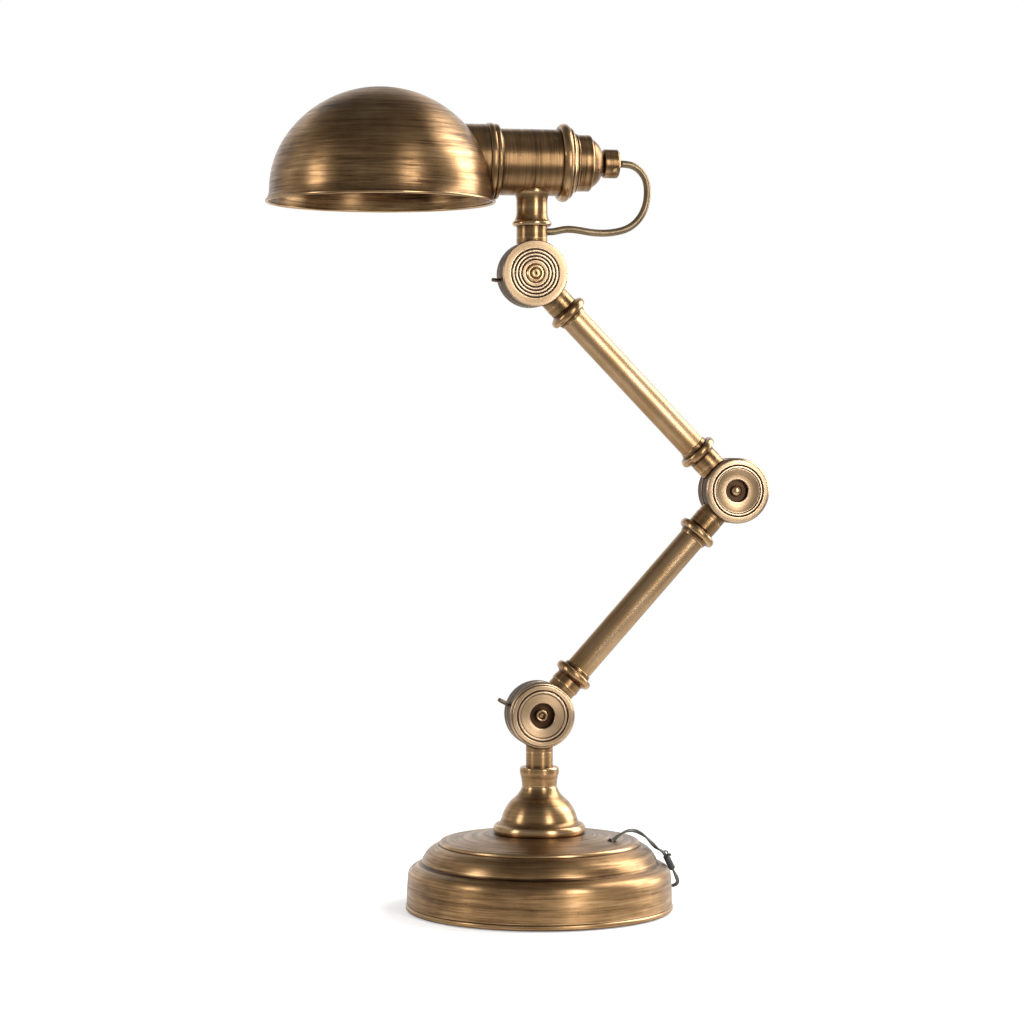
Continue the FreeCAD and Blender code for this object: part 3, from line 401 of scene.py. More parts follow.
def ring_shape(radius: float, sides: int = 16) -> list[tuple[float, float]]:
    """The corners of a round cross-section."""
    turns = [FULL_TURN * k / sides for k in range(sides)]
    return [(radius * math.cos(t), radius * math.sin(t)) for t in turns]


def twin_shape(half_width: float, radius: float, waist: float) -> list[tuple[float, float]]:
    """The cross-section of a two-core cord: two round cores with a waist between them."""
    corners = []
    for k in range(24):
        turn = FULL_TURN * k / 24
        centre = half_width - radius
        u = radius * math.cos(turn) + math.copysign(centre, math.cos(turn))
        v = radius * math.sin(turn)
        if abs(u) < centre:
            v *= waist + (1 - waist) * abs(u) / centre
        corners.append((u, v))
    return corners


# ---------------------------------------------------------------- finishes


class NodeSheet:
    """The nodes of a material or a world, added by kind, with their inputs set or joined by name."""

    def __init__(self, owner: bpy.types.Material | bpy.types.World) -> None:
        """Clears the owner's nodes and adds its coordinates."""
        owner.use_nodes = True
        self.tree = owner.node_tree
        self.tree.nodes.clear()
        self.coordinates = self.add("TexCoord").outputs
        self.place = self.coordinates["Object"]

    def add(self, kind: str, inputs: dict[str | int, Any] | None = None, **settings: Any) -> bpy.types.Node:
        """Adds a node.

        Args:
            kind: the node's type without its ShaderNode prefix.
            inputs: a value or an output socket for each named input.
            settings: the node's own properties.

        Returns:
            The node.
        """
        node = self.tree.nodes.new("ShaderNode" + kind)
        for key, value in settings.items():
            setattr(node, key, value)
        for key, value in (inputs or {}).items():
            if isinstance(value, bpy.types.NodeSocket):
                self.tree.links.new(value, node.inputs[key])
            else:
                node.inputs[key].default_value = value
        return node

    def put(self, kind: str, inputs: dict[str | int, Any], **settings: Any) -> Any:
        """Adds a node and returns its first output."""
        return self.add(kind, inputs, **settings).outputs[0]

    def sum(self, operation: str, a: Any, b: Any = 0.0, c: Any = 0.0) -> Any:
        """One number worked out from others."""
        return self.put("Math", {0: a, 1: b, 2: c}, operation=operation)

    def span(self, value: Any, *ranges: float, **settings: Any) -> Any:
        """A number moved from one range, low and high, into a second one, and held there."""
        return self.put("MapRange", dict(enumerate((value, *ranges))), **settings)

    def noise(self, scale: Any, detail: float, rough: float = 0.55, w: Any = None) -> Any:
        """A noise value at the point in the piece's own frame.

        Args:
            scale: cells for each metre, or one number for each axis.
            detail: how many finer layers it has.
            rough: how strong the finer layers are.
            w: where it is in the fourth dimension, or none for three.

        Returns:
            The noise's output.
        """
        place = self.place
        if isinstance(scale, tuple):
            place, scale = self.put("Mapping", {"Vector": place, "Scale": scale}), 1.0
        inputs = {"Vector": place, "Scale": scale, "Detail": detail, "Roughness": rough}
        if w is None:
            return self.put("TexNoise", inputs)
        return self.put("TexNoise", {**inputs, "W": w}, noise_dimensions="4D")

    def ramp(self, value: Any, stops: Sequence[tuple[float, Colour]]) -> Any:
        """A colour picked from a row of colours."""
        node = self.add("ValToRGB", {0: value})
        band = node.color_ramp
        while len(band.elements) < len(stops):
            band.elements.new(0.5)
        for element, (position, colour) in zip(band.elements, stops):
            element.position = position
            element.color = (*colour, 1.0)
        return node.outputs[0]

    def bump(self, height: Any, strength: float, distance: float, **normal: Any) -> Any:
        """A normal that follows a height, on top of another Normal if one is given."""
        return self.put("Bump", {"Height": height, "Strength": strength, "Distance": distance, **normal})


class Finish:
    """A finish that is made once and shared by every piece that has it."""

    made: dict[str, bpy.types.Material] = {}
    name: str

    def material(self) -> bpy.types.Material:
        """This finish's material: one surface shader with the finish's inputs."""
        if self.name not in Finish.made:
            material = bpy.data.materials.new(self.name)
            sheet = NodeSheet(material)
            sheet.add("OutputMaterial", {"Surface": sheet.put("BsdfPrincipled", self.inputs(sheet))})
            Finish.made[self.name] = material
        return Finish.made[self.name]

    def inputs(self, sheet: NodeSheet) -> dict[str, Any]:
        """Makes the nodes behind the surface shader and returns its inputs by name."""
        raise NotImplementedError


class Grain(Enum):
    """How a brass piece was brushed."""

    AROUND = "round its axis, on the lathe"
    ALONG = "along its axis"
    CAST = "not at all"


CLOUD_SCALE = 34.0
SPOT_SCALE = 620.0
SPOT_DEPTH = 0.16
TOOL_SCALE = 420.0
BROAD_SHARE = 0.8
BRUSHED_STRETCH = 0.62
# How far the ambient occlusion looks for nearby surfaces, for the painted shade in creases and where parts
# meet.
CREVICE_SHADE_REACH = 0.0035
# The painted shade in a knuckle's central well: WELL_WALL and WELL_MOUTH say where it ends, and the third
# value how dark it is.
WELL_WALL = (0.0084, 0.0087)
WELL_MOUTH = (0.0094, 0.0100)
WELL_SHADE = 0.75


@dataclass(frozen=True)
class AgedBrass(Finish):
    """Brushed brass under a brown patina that is rubbed off the edges and stays in the recesses, with painted
    shade in creases and where parts meet, and, where asked, on a piece's sides and in a knuckle's central
    well.
    """

    name: str
    grain: Grain = Grain.AROUND
    bright: Colour = (0.80, 0.55, 0.315)
    tone: Colour = (0.41, 0.245, 0.112)
    deep: Colour = (0.070, 0.035, 0.016)
    roughness: float = 0.33
    streaks: float = 0.75
    patina: float = 0.5
    wear: float = 0.42
    tools: float = 0.25
    lean: float = 0.5
    # How much painted shade the sides of a piece get, away from its flat faces.
    sides: float = 0.0
    # How dark the painted shade from ambient occlusion is, in creases and where parts meet.
    crevice_shade: float = 0.60
    # Whether the central well round the pivot gets painted shade.
    shaded_well: bool = False
    relief: float = 0.30

    def inputs(self, sheet: NodeSheet) -> dict[str, Any]:
        """Makes the brass's nodes and returns the shader's inputs by name."""
        x, y, height = sheet.add("SeparateXYZ", {0: sheet.place}).outputs
        across = sheet.sum("SQRT", sheet.sum("ADD", sheet.sum("MULTIPLY", x, x), sheet.sum("MULTIPLY", y, y)))
        fine, broad = self.brushed(sheet, across)
        cloud, spots = sheet.noise(CLOUD_SCALE, 4.0), sheet.noise(SPOT_SCALE, 2.0)
        mask: Any = self.lean
        for value, weight in (fine, self.streaks), (broad, self.streaks * BROAD_SHARE), (cloud, self.patina):
            mask = sheet.sum("MULTIPLY_ADD", sheet.sum("SUBTRACT", value, 0.5), weight, mask)
        worn = sheet.add("Attribute", attribute_name="wear").outputs["Fac"]
        mask = sheet.sum("MULTIPLY_ADD", worn, self.wear, mask)
        mask = sheet.sum("SUBTRACT", mask, sheet.span(spots, 0.66, 0.74, 0.0, SPOT_DEPTH))
        # Painted shade: the sides of the piece, where its normal turns away from its axis, are made darker.
        if self.sides:
            facing = sheet.add("SeparateXYZ", {0: sheet.coordinates["Normal"]}).outputs[2]
            flat = sheet.span(sheet.sum("ABSOLUTE", facing), 0.35, 0.85, self.sides, 0.0)
            mask = sheet.sum("SUBTRACT", mask, flat)
        # Painted shade: the central well round the pivot is made darker.
        if self.shaded_well:
            inside = sheet.span(across, *WELL_WALL, 1.0, 0.0)
            sunk = sheet.span(sheet.sum("ABSOLUTE", height), *WELL_MOUTH, WELL_SHADE, 0.0)
            mask = sheet.sum("SUBTRACT", mask, sheet.sum("MULTIPLY", inside, sunk))
        # Painted shade: ambient occlusion darkens the colour in creases, recesses and where parts meet.
        open_air = sheet.add("AmbientOcclusion", {"Distance": CREVICE_SHADE_REACH}, samples=6).outputs["AO"]
        mask = sheet.sum("SUBTRACT", mask, sheet.span(open_air, 0.25, 0.85, self.crevice_shade, 0.0))
        normal = sheet.bump(fine, self.relief, 0.00005)
        normal = sheet.bump(spots, 0.10, 0.00006, Normal=normal)
        if self.tools:
            marks = {k: sheet.sum("MULTIPLY", way, TOOL_SCALE) for k, way in enumerate((across, height))}
            rings = {"Vector": sheet.put("CombineXYZ", marks), "Scale": 1.0, "Detail": 2.0, "Roughness": 0.55}
            normal = sheet.bump(sheet.put("TexNoise", rings), self.tools, 0.00012, Normal=normal)
        inputs = {
            "Base Color": sheet.ramp(mask, [(0.0, self.deep), (0.5, self.tone), (1.0, self.bright)]),
            "Metallic": 1.0,
            "Roughness": sheet.span(mask, 0.1, 0.9, self.roughness + 0.09, self.roughness - 0.06),
            "Normal": normal,
            "Coat Weight": 0.10,
            "Coat Roughness": 0.28,
        }
        if self.grain is not Grain.CAST:
            inputs["Tangent"] = sheet.put("Tangent", {}, direction_type="RADIAL", axis="Z")
            inputs["Anisotropic"] = BRUSHED_STRETCH
            inputs["Anisotropic Rotation"] = 0.25 if self.grain is Grain.AROUND else 0.0
        return inputs

    def brushed(self, sheet: NodeSheet, across: Any) -> tuple[Any, Any]:
        """The fine and the broad brush marks.

        Args:
            sheet: the material's nodes.
            across: the point's distance from the piece's axis.

        Returns:
            Two noise values.
        """
        if self.grain is Grain.CAST:
            return sheet.noise(900.0, 3.0), sheet.noise(150.0, 3.0)
        if self.grain is Grain.ALONG:
            return sheet.noise((330.0, 330.0, 9.0), 3.0), sheet.noise((140.0, 140.0, 5.0), 2.0)
        fine = sheet.noise((42.0, 42.0, 1150.0), 3.0, 0.6, sheet.sum("MULTIPLY", across, 1250.0))
        broad = sheet.noise((15.0, 15.0, 300.0), 2.0, 0.5, sheet.sum("MULTIPLY", across, 300.0))
        return fine, broad


@dataclass(frozen=True)
class PlainMetal(Finish):
    """Plated or cast metal with a fine broken surface."""

    name: str
    colour: Colour
    dull: Colour
    roughness: float
    grain: float = 700.0
    metallic: float = 1.0
    relief: float = 0.00004

    def inputs(self, sheet: NodeSheet) -> dict[str, Any]:
        """Makes the metal's nodes and returns the shader's inputs by name."""
        fine = sheet.noise(self.grain, 3.0)
        return {
            "Base Color": sheet.ramp(sheet.noise(55.0, 4.0), [(0.3, self.dull), (0.7, self.colour)]),
            "Metallic": self.metallic,
            "Roughness": sheet.span(fine, 0.2, 0.8, self.roughness + 0.08, self.roughness - 0.06),
            "Normal": sheet.bump(fine, 0.5, self.relief),
        }


@dataclass(frozen=True)
class Felt(Finish):
    """Green felt: matted fibres with a soft sheen."""

    name: str = "green_felt"

    def inputs(self, sheet: NodeSheet) -> dict[str, Any]:
        """Makes the felt's nodes and returns the shader's inputs by name."""
        fibre = sheet.noise(1500.0, 5.0, 0.7)
        both = sheet.sum("MULTIPLY_ADD", fibre, 0.6, sheet.sum("MULTIPLY", sheet.noise(120.0, 4.0), 0.4))
        return {
            "Base Color": sheet.ramp(both, [(0.3, (0.008, 0.035, 0.020)), (0.7, (0.025, 0.095, 0.055))]),
            "Roughness": 0.95,
            "Normal": sheet.bump(fibre, 0.8, 0.0003),
            "Sheen Weight": 0.5,
            "Sheen Roughness": 0.5,
        }


@dataclass(frozen=True)
class Ceramic(Finish):
    """Cream glazed ceramic with faint specks."""

    name: str = "cream_ceramic"

    def inputs(self, sheet: NodeSheet) -> dict[str, Any]:
        """Makes the ceramic's nodes and returns the shader's inputs by name."""
        speck = sheet.noise(1400.0, 2.0)
        return {
            "Base Color": sheet.ramp(speck, [(0.28, (0.50, 0.43, 0.33)), (0.42, (0.80, 0.75, 0.65))]),
            "Roughness": 0.24,
            "Normal": sheet.bump(sheet.noise(160.0, 2.0), 0.15, 0.0002),
            "Coat Weight": 0.4,
        }


@dataclass(frozen=True)
class FrostedGlass(Finish):
    """A pearl globe: white glass, etched inside."""

    name: str = "frosted_glass"

    def inputs(self, sheet: NodeSheet) -> dict[str, Any]:
        """Makes the glass's nodes and returns the shader's inputs by name."""
        etch = sheet.noise(260.0, 4.0)
        return {
            "Base Color": sheet.ramp(etch, [(0.3, (0.80, 0.79, 0.76)), (0.7, (0.88, 0.88, 0.86))]),
            "Roughness": sheet.span(etch, 0.3, 0.7, 0.30, 0.22),
            "Normal": sheet.bump(sheet.noise(900.0, 2.0), 0.06, 0.0001),
            "Transmission Weight": 0.35,
            "IOR": 1.48,
            "Coat Weight": 0.3,
        }


@dataclass(frozen=True)
class Moulding(Finish):
    """Moulded rubber or plastic with a faint grain."""

    name: str
    colour: Colour
    worn: Colour
    roughness: float = 0.5
    grain: float = 1300.0

    def inputs(self, sheet: NodeSheet) -> dict[str, Any]:
        """Makes the moulding's nodes and returns the shader's inputs by name."""
        fine, cloud = sheet.noise(self.grain, 3.0), sheet.noise(70.0, 3.0)
        both = sheet.sum("MULTIPLY_ADD", fine, 0.35, sheet.sum("MULTIPLY", cloud, 0.65))
        return {
            "Base Color": sheet.ramp(both, [(0.32, self.colour), (0.68, self.worn)]),
            "Roughness": sheet.span(cloud, 0.3, 0.7, self.roughness - 0.07, self.roughness + 0.09),
            "Normal": sheet.bump(fine, 0.35, 0.00007),
        }


@dataclass(frozen=True)
class WoundThread(Finish):
    """Waxed thread: short slanting strands across the way it runs."""

    name: str
    colour: Colour
    light: Colour
    pitch: float = 900.0
    roughness: float = 0.5

    def inputs(self, sheet: NodeSheet) -> dict[str, Any]:
        """Makes the thread's nodes and returns the shader's inputs by name."""
        run = sheet.add("Attribute", attribute_name="run").outputs["Fac"]
        wave = sheet.sum("SINE", sheet.sum("MULTIPLY", run, self.pitch * FULL_TURN))
        strand = sheet.sum("MULTIPLY_ADD", wave, 0.18, sheet.noise(1500.0, 4.0, 0.65))
        return {
            "Base Color": sheet.ramp(strand, [(0.30, self.colour), (0.75, self.light)]),
            "Roughness": self.roughness,
            "Normal": sheet.bump(strand, 0.6, 0.0001),
        }


BASE_BRASS = AgedBrass("base_brass", roughness=0.35, lean=0.33, streaks=1.0, patina=0.75)
RIM_BRASS = AgedBrass("base_rim_brass", roughness=0.34, lean=0.36)
BELL_BRASS = AgedBrass("bell_brass", roughness=0.30, lean=0.47)
POST_BRASS = AgedBrass("post_brass", roughness=0.30, lean=0.46, streaks=0.6)
TUBE_BRASS = AgedBrass("tube_brass", grain=Grain.ALONG, roughness=0.34, streaks=0.40, tools=0.0, lean=0.58,
                       relief=0.03, bright=(0.80, 0.585, 0.385))
FERRULE_BRASS = AgedBrass("ferrule_brass", roughness=0.30, lean=0.40, wear=0.55)
# The knuckles' finish paints shade on their rims and in their central wells.
KNUCKLE_BRASS = AgedBrass("knuckle_brass", roughness=0.38, lean=0.60, wear=0.55, streaks=0.5, patina=0.4,
                          bright=(0.72, 0.525, 0.355), tone=(0.46, 0.31, 0.175), tools=0.35, sides=0.70,
                          shaded_well=True)
BOSS_BRASS = AgedBrass("boss_brass", grain=Grain.CAST, roughness=0.34, streaks=0.3, lean=0.42, tools=0.0)
BOLT_BRASS = AgedBrass("bolt_brass", roughness=0.26, lean=0.52, wear=0.5, streaks=0.35)
LEVER_BRASS = AgedBrass("lever_brass", grain=Grain.CAST, roughness=0.38, lean=0.36, streaks=0.3, tools=0.0,
                        deep=(0.045, 0.028, 0.018), tone=(0.24, 0.19, 0.13))
HOLDER_BRASS = AgedBrass("holder_brass", roughness=0.31, lean=0.33, streaks=0.9)
RING_BRASS = AgedBrass("holder_ring_brass", roughness=0.30, lean=0.34, wear=0.6)
SHADE_BRASS = AgedBrass("shade_brass", roughness=0.31, lean=0.34, streaks=1.15, patina=0.95)
NUT_BRASS = AgedBrass("nut_brass", roughness=0.36, lean=0.5, streaks=0.3)
STEEL = PlainMetal("plated_steel", (0.62, 0.61, 0.58), (0.40, 0.39, 0.37), 0.34)
IRON = PlainMetal("cast_weight", (0.085, 0.082, 0.078), (0.045, 0.043, 0.040), 0.62, grain=420.0,
                  metallic=0.6, relief=0.0004)
FELT = Felt()
CERAMIC = Ceramic()
SOCKET_BRASS = PlainMetal("socket_brass", (0.72, 0.55, 0.28), (0.52, 0.38, 0.18), 0.28)
CAP_METAL = PlainMetal("bulb_cap_metal", (0.66, 0.66, 0.66), (0.50, 0.50, 0.49), 0.30)
GLASS = FrostedGlass()
CORD_JACKET = Moulding("dark_cord", (0.040, 0.040, 0.036), (0.105, 0.105, 0.095), 0.38)
BINDING = WoundThread("dark_binding", (0.014, 0.015, 0.016), (0.105, 0.110, 0.110))
PLUG_PLASTIC = Moulding("dark_plastic", (0.012, 0.012, 0.012), (0.030, 0.030, 0.029), 0.48, grain=2200.0)
LOOP_JACKET = PlainMetal("loop_cord", (0.34, 0.255, 0.155), (0.20, 0.14, 0.08), 0.36, grain=500.0,
                         metallic=0.8, relief=0.00008)
BLADE_BRASS = PlainMetal("blade_brass", (0.78, 0.64, 0.36), (0.62, 0.48, 0.25), 0.24)


def fit(piece: bpy.types.Object, body: str, slot: str, finish: Finish, *nodes: str) -> bpy.types.Object:
    """Gives a piece its finish, sets it on its body and hides the CAD nodes that it stands for.

    Args:
        piece: the piece, in place.
        body: the body that it rides on.
        slot: not used.
        finish: its finish.
        nodes: the CAD nodes that it stands for.

    Returns:
        The piece.
    """
    piece.data.materials.clear()
    piece.data.materials.append(finish.material())
    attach(piece, body)
    if nodes:
        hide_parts(*nodes)
    LOG.info("%s rides on %s", piece.name, body)
    return piece


def dress(**finishes: Finish) -> None:
    """Gives CAD nodes that stay a finish each, by the node's name."""
    for node, finish in finishes.items():
        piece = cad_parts[node]
        if not piece.material_slots:
            piece.data.materials.append(finish.material())
        for slot in piece.material_slots:
            slot.material = finish.material()
        LOG.info("%s keeps its CAD shape", node)


# ---------------------------------------------------------------- studio


SOFTBOX_COLOUR = (1.0, 0.975, 0.94)
SOFTBOX_AIM = Vector((0.0, 0.0, 0.30))


@dataclass
class Softbox:
    """A rectangular light that faces the lamp."""

    name: str
    heading: float
    height: float
    distance: float
    width: float
    tall: float
    level: float

    def place(self) -> None:
        """Sets the light up so that its face has the given level."""
        data = bpy.data.lights.new(self.name, "AREA")
        data.shape = "RECTANGLE"
        data.size = self.width
        data.size_y = self.tall
        data.energy = self.level * math.pi * self.width * self.tall
        data.color = SOFTBOX_COLOUR
        light = bpy.data.objects.new(self.name, data)
        turn = math.radians(self.heading)
        light.location = (self.distance * math.cos(turn), self.distance * math.sin(turn), self.height)
        light.rotation_euler = (SOFTBOX_AIM - light.location).to_track_quat("-Z", "Y").to_euler()
        light.visible_camera = False
        bpy.context.scene.collection.objects.link(light)


@dataclass
class Studio:
    """The camera, the pale floor, the white room and its softboxes."""

    lens: float = 96.68
    distance: float = 1834.0
    aside: float = 18.3
    height: float = 313.0
    tilt: float = 1.48
    azimuth: float = -10.0
    floor_radius: float = 4.0
    diffuse_level: float = 0.54
    front_level: float = 0.26
    back_level: float = 1.0
    ceiling_level: float = 0.10
    back_reach: tuple[float, float] = (0.35, 0.92)
    ceiling_reach: tuple[float, float] = (0.55, 0.85)
    floor_colour: tuple[float, ...] = (0.90, 0.90, 0.89, 1.0)
    floor_lift: float = 0.38
    floor_fade: tuple[float, float] = (0.20, 0.60)
    softboxes: list[Softbox] = field(default_factory=lambda: [
        Softbox("softbox_right", -68.0, 0.66, 1.7, 0.42, 1.1, 8.5),
        Softbox("softbox_left", -166.0, 0.62, 1.6, 0.36, 0.9, 5.4),
        Softbox("softbox_side", 10.0, 1.05, 1.5, 0.95, 2.0, 6.5),
        Softbox("softbox_far_left", 156.0, 0.75, 1.5, 0.60, 1.4, 0.35),
    ])

    def build(self) -> None:
        """Sets up the camera, the lights, the world and the floor."""
        self.make_camera()
        for box in self.softboxes:
            box.place()
        self.make_world()
        self.make_floor()
        bpy.context.scene.view_settings.view_transform = "Standard"
        LOG.info("the studio is set up")

    def make_camera(self) -> None:
        """Puts the camera where the photograph was taken from."""
        turn = math.radians(-self.azimuth)
        ahead = Vector((math.sin(turn), math.cos(turn), 0.0))
        side = Vector((math.cos(turn), -math.sin(turn), 0.0))
        data = bpy.data.cameras.new("camera")
        data.sensor_width = 36.0
        data.sensor_fit = "HORIZONTAL"
        data.lens = self.lens
        data.clip_start = 0.05
        data.clip_end = 50.0
        camera = bpy.data.objects.new("camera", data)
        camera.location = (-ahead * self.distance - side * self.aside + Vector((0, 0, self.height))) * MM
        dip = math.radians(self.tilt)
        look = ahead * math.cos(dip) - Vector((0, 0, math.sin(dip)))
        camera.rotation_euler = look.to_track_quat("-Z", "Y").to_euler()
        bpy.context.scene.collection.objects.link(camera)
        bpy.context.scene.camera = camera

    def make_world(self) -> None:
        """A white room: even light for matt surfaces, and a darker front and ceiling for metal to show."""
        world = bpy.data.worlds.new("white_room")
        bpy.context.scene.world = world
        sheet = NodeSheet(world)
        way = sheet.coordinates["Generated"]
        turn = math.radians(-self.azimuth)
        behind = sheet.add("VectorMath", {0: way, 1: (math.sin(turn), math.cos(turn), 0.0)},
                           operation="DOT_PRODUCT").outputs["Value"]
        rise = sheet.add("SeparateXYZ", {0: way}).outputs[2]
        smooth = {"interpolation_type": "SMOOTHSTEP"}
        back = sheet.span(behind, *self.back_reach, self.front_level, self.back_level, **smooth)
        roof = sheet.span(rise, *self.ceiling_reach, 0.0, 1.0, **smooth)
        shown = sheet.put("Mix", {0: roof, 2: back, 3: self.ceiling_level})
        path = sheet.add("LightPath").outputs
        clear = sheet.sum("MAXIMUM", path["Is Glossy Ray"], path["Is Transmission Ray"])
        level = sheet.put("Mix", {0: clear, 2: self.diffuse_level, 3: shown})
        level = sheet.put("Mix", {0: path["Is Camera Ray"], 2: level, 3: 1.0})
        light = sheet.put("Background", {"Color": (1.0, 1.0, 1.0, 1.0), "Strength": level})
        sheet.add("OutputWorld", {"Surface": light})

    def make_floor(self) -> None:
        """A white round floor that keeps the lamp's shadow and fades into the white room."""
        rim = [(u, v, 0.0) for u, v in ring_shape(self.floor_radius, 96)]
        floor = new_piece("floor", rim, [tuple(range(len(rim)))], Matrix.Translation((0, 0, -0.0003)))
        material = bpy.data.materials.new("floor_white")
        sheet = NodeSheet(material)
        path = sheet.add("LightPath").outputs
        seen = path["Is Camera Ray"]
        matt = sheet.put("BsdfDiffuse", {"Color": self.floor_colour})
        lift = sheet.put("Emission", {"Strength": sheet.sum("MULTIPLY", seen, self.floor_lift)})
        near = sheet.put("AddShader", {0: matt, 1: lift})
        depth = sheet.add("SeparateXYZ", {0: sheet.place}).outputs[1]
        lit = sheet.span(depth, -0.2, 1.2, self.front_level, 1.0)
        white = sheet.put("Emission", {"Strength": sheet.sum("MAXIMUM", seen, lit)})
        shown = sheet.sum("MAXIMUM", path["Is Glossy Ray"], path["Is Transmission Ray"])
        clear = sheet.sum("MAXIMUM", shown, seen)
        far = sheet.add("VectorMath", {0: sheet.place}, operation="LENGTH").outputs["Value"]
        fade = sheet.sum("MULTIPLY", clear, sheet.span(far, *self.floor_fade, 0.0, 1.0))
        sheet.add("OutputMaterial", {"Surface": sheet.put("MixShader", {0: fade, 1: near, 2: white})})
        floor.data.materials.append(material)


# ---------------------------------------------------------------- cords


CORD_EXIT = (42.4, -27.1, 46.9)
PLUG_PROFILE = (
    (0.0, 6.6, 3.9), (0.5, 8.2, 5.0), (2.0, 9.6, 5.9), (5.0, 10.2, 6.3), (9.0, 10.2, 6.4),
    (12.0, 10.9, 6.5), (15.0, 11.6, 6.5), (19.0, 11.9, 6.5), (23.5, 12.0, 6.5), (25.2, 11.7, 6.3),
    (26.0, 10.9, 5.5),
)


@dataclass
class MainsCord:
    """The dark two-core cord, its tied binding, its put-away coil and its plug."""

    width: float = 2.6
    length: float = 1.85
    route: list[Point] = field(default_factory=lambda: [
        CORD_EXIT, (48.2, -25.8, 51.5), (55.0, -22.9, 54.3), (61.9, -19.0, 53.6),
        (69.0, -15.2, 49.2), (75.2, -10.6, 43.0), (79.6, -6.4, 38.9), (84.9, -2.6, 36.4), (92.0, 0.2, 23.2),
        (94.6, 2.7, 18.9), (96.6, 5.6, 15.2), (96.6, 10.0, 12.0), (94.8, 16.2, 10.2), (93.4, 25.2, 7.8),
        (90.2, 36.4, 4.8), (86.0, 48.6, 2.2), (81.0, 61.5, 1.3), (75.6, 75.2, 1.3), (69.8, 88.8, 1.3),
        (63.4, 102.1, 1.3), (56.87, 113.77, 1.3),
    ])
    tail: list[Point] = field(default_factory=lambda: [
        (15.78, 129.28, 10.75), (11.2, 126.23, 10.75), (5.4, 122.6, 9.9), (-1.2, 118.6, 7.6),
        (-7.69, 116.96, 6.5), (-13.6, 118.0, 6.5),
    ])
    coil_middle: tuple[float, float] = (30.0, 113.5)
    coil_start: float = 35.0
    coil_inner: float = 10.0
    coil_pitch: float = 3.15
    layers: tuple[float, ...] = (3.75, 3.75, 3.75, 3.5)
    steps: int = 12
    plug_heading: float = 170.0

    def coil(self) -> list[Point]:
        """The coil's points, wound inward and outward in layers that climb by one pitch each.

        Returns:
            Its points in millimetres, as many for each turn as steps says.
        """
        spots = []
        angle, height = 0.0, self.width / 2
        radius = self.coil_inner + self.coil_pitch * self.layers[0]
        step = 360.0 / self.steps
        spread = self.coil_pitch / self.steps

        def mark(turn: float, wide: float, high: float) -> None:
            """Notes one point of the coil."""
            way = math.radians(self.coil_start + turn)
            x = self.coil_middle[0] + wide * math.cos(way)
            y = self.coil_middle[1] + wide * math.sin(way)
            spots.append((x, y, high))

        for layer, turns in enumerate(self.layers):
            sense = -1.0 if layer % 2 == 0 else 1.0
            for _ in range(round(turns * self.steps)):
                mark(angle, radius, height)
                angle += step
                radius += sense * spread
            if layer == len(self.layers) - 1:
                mark(angle, radius, height)
                break
            half = self.steps // 2
            for k in range(half):
                share = k / half
                ease = 3 * share**2 - 2 * share**3
                bulge = sense * spread * 2 * share * (1 - share)
                mark(angle + k * step, radius + bulge, height + self.coil_pitch * ease)
            angle += 180.0
            height += self.coil_pitch
        return spots

    def build(self) -> None:
        """Makes the cord in one length, with what is tied round it and the plug at its end."""
        spots = points_along(self.route + self.coil() + self.tail)
        line = tube_along("mains_cord_jacket", spots, twin_shape(self.width / 2, 0.72, 0.55), twist=28.0)
        fit(line, "base", "dark_cord", CORD_JACKET, "mains_cord", "mains_cord_coil", "mains_cord_tail")
        tied = CordTie(Vector(self.route[7]), Vector(self.route[8])).build()
        relief, body = self.make_plug()
        dress(plug_blades=BLADE_BRASS)

    def make_plug(self) -> tuple[bpy.types.Object, bpy.types.Object]:
        """The flat plug with its finger grips, and the ribbed relief where the cord enters it.

        Returns:
            The relief and the plug's body.
        """
        turn = math.radians(self.plug_heading)
        along = Vector((math.cos(turn), math.sin(turn), 0.0))
        place = Matrix.Translation(Vector(self.tail[-1]) * MM) @ Matrix(
            ((-along.y, 0.0, along.x, 0.0), (along.x, 0.0, along.y, 0.0), (0.0, 1.0, 0.0, 0.0),
             (0.0, 0.0, 0.0, 1.0))
        )
        rings = []
        sides = 48
        for height, half_width, half_height in PLUG_PROFILE:
            ring = []
            for k in range(sides):
                way = FULL_TURN * k / sides
                c, s = math.cos(way), math.sin(way)
                u = half_width * math.copysign(abs(c) ** 0.5, c)
                v = half_height * math.copysign(abs(s) ** 0.5, s)
                ring.append((u * MM, v * MM, height * MM))
            rings.append(ring)
        body = loft("plug_moulding", rings, place)
        body.data.set_sharp_from_angle(angle=math.radians(50))
        fit(body, "base", "dark_plastic", PLUG_PLASTIC, "plug_body")
        relief_line = points_along(self.tail)
        wanted, gone, kept = 20.0 * MM, 0.0, [relief_line[-1]]
        for spot in reversed(relief_line[:-1]):
            gone += (spot - kept[-1]).length
            kept.append(spot)
            if gone >= wanted:
                break
        kept.reverse()
        count = len(kept) - 1
        sizes = [1.0 + 1.1 * (k / count) ** 1.2 + (0.14 if k % 3 == 0 else 0.0) for k in range(count + 1)]
        relief = tube_along("plug_relief", kept, ring_shape(1.5, 20), scale=sizes)
        fit(relief, "base", "dark_plastic", PLUG_PLASTIC)
        return relief, body


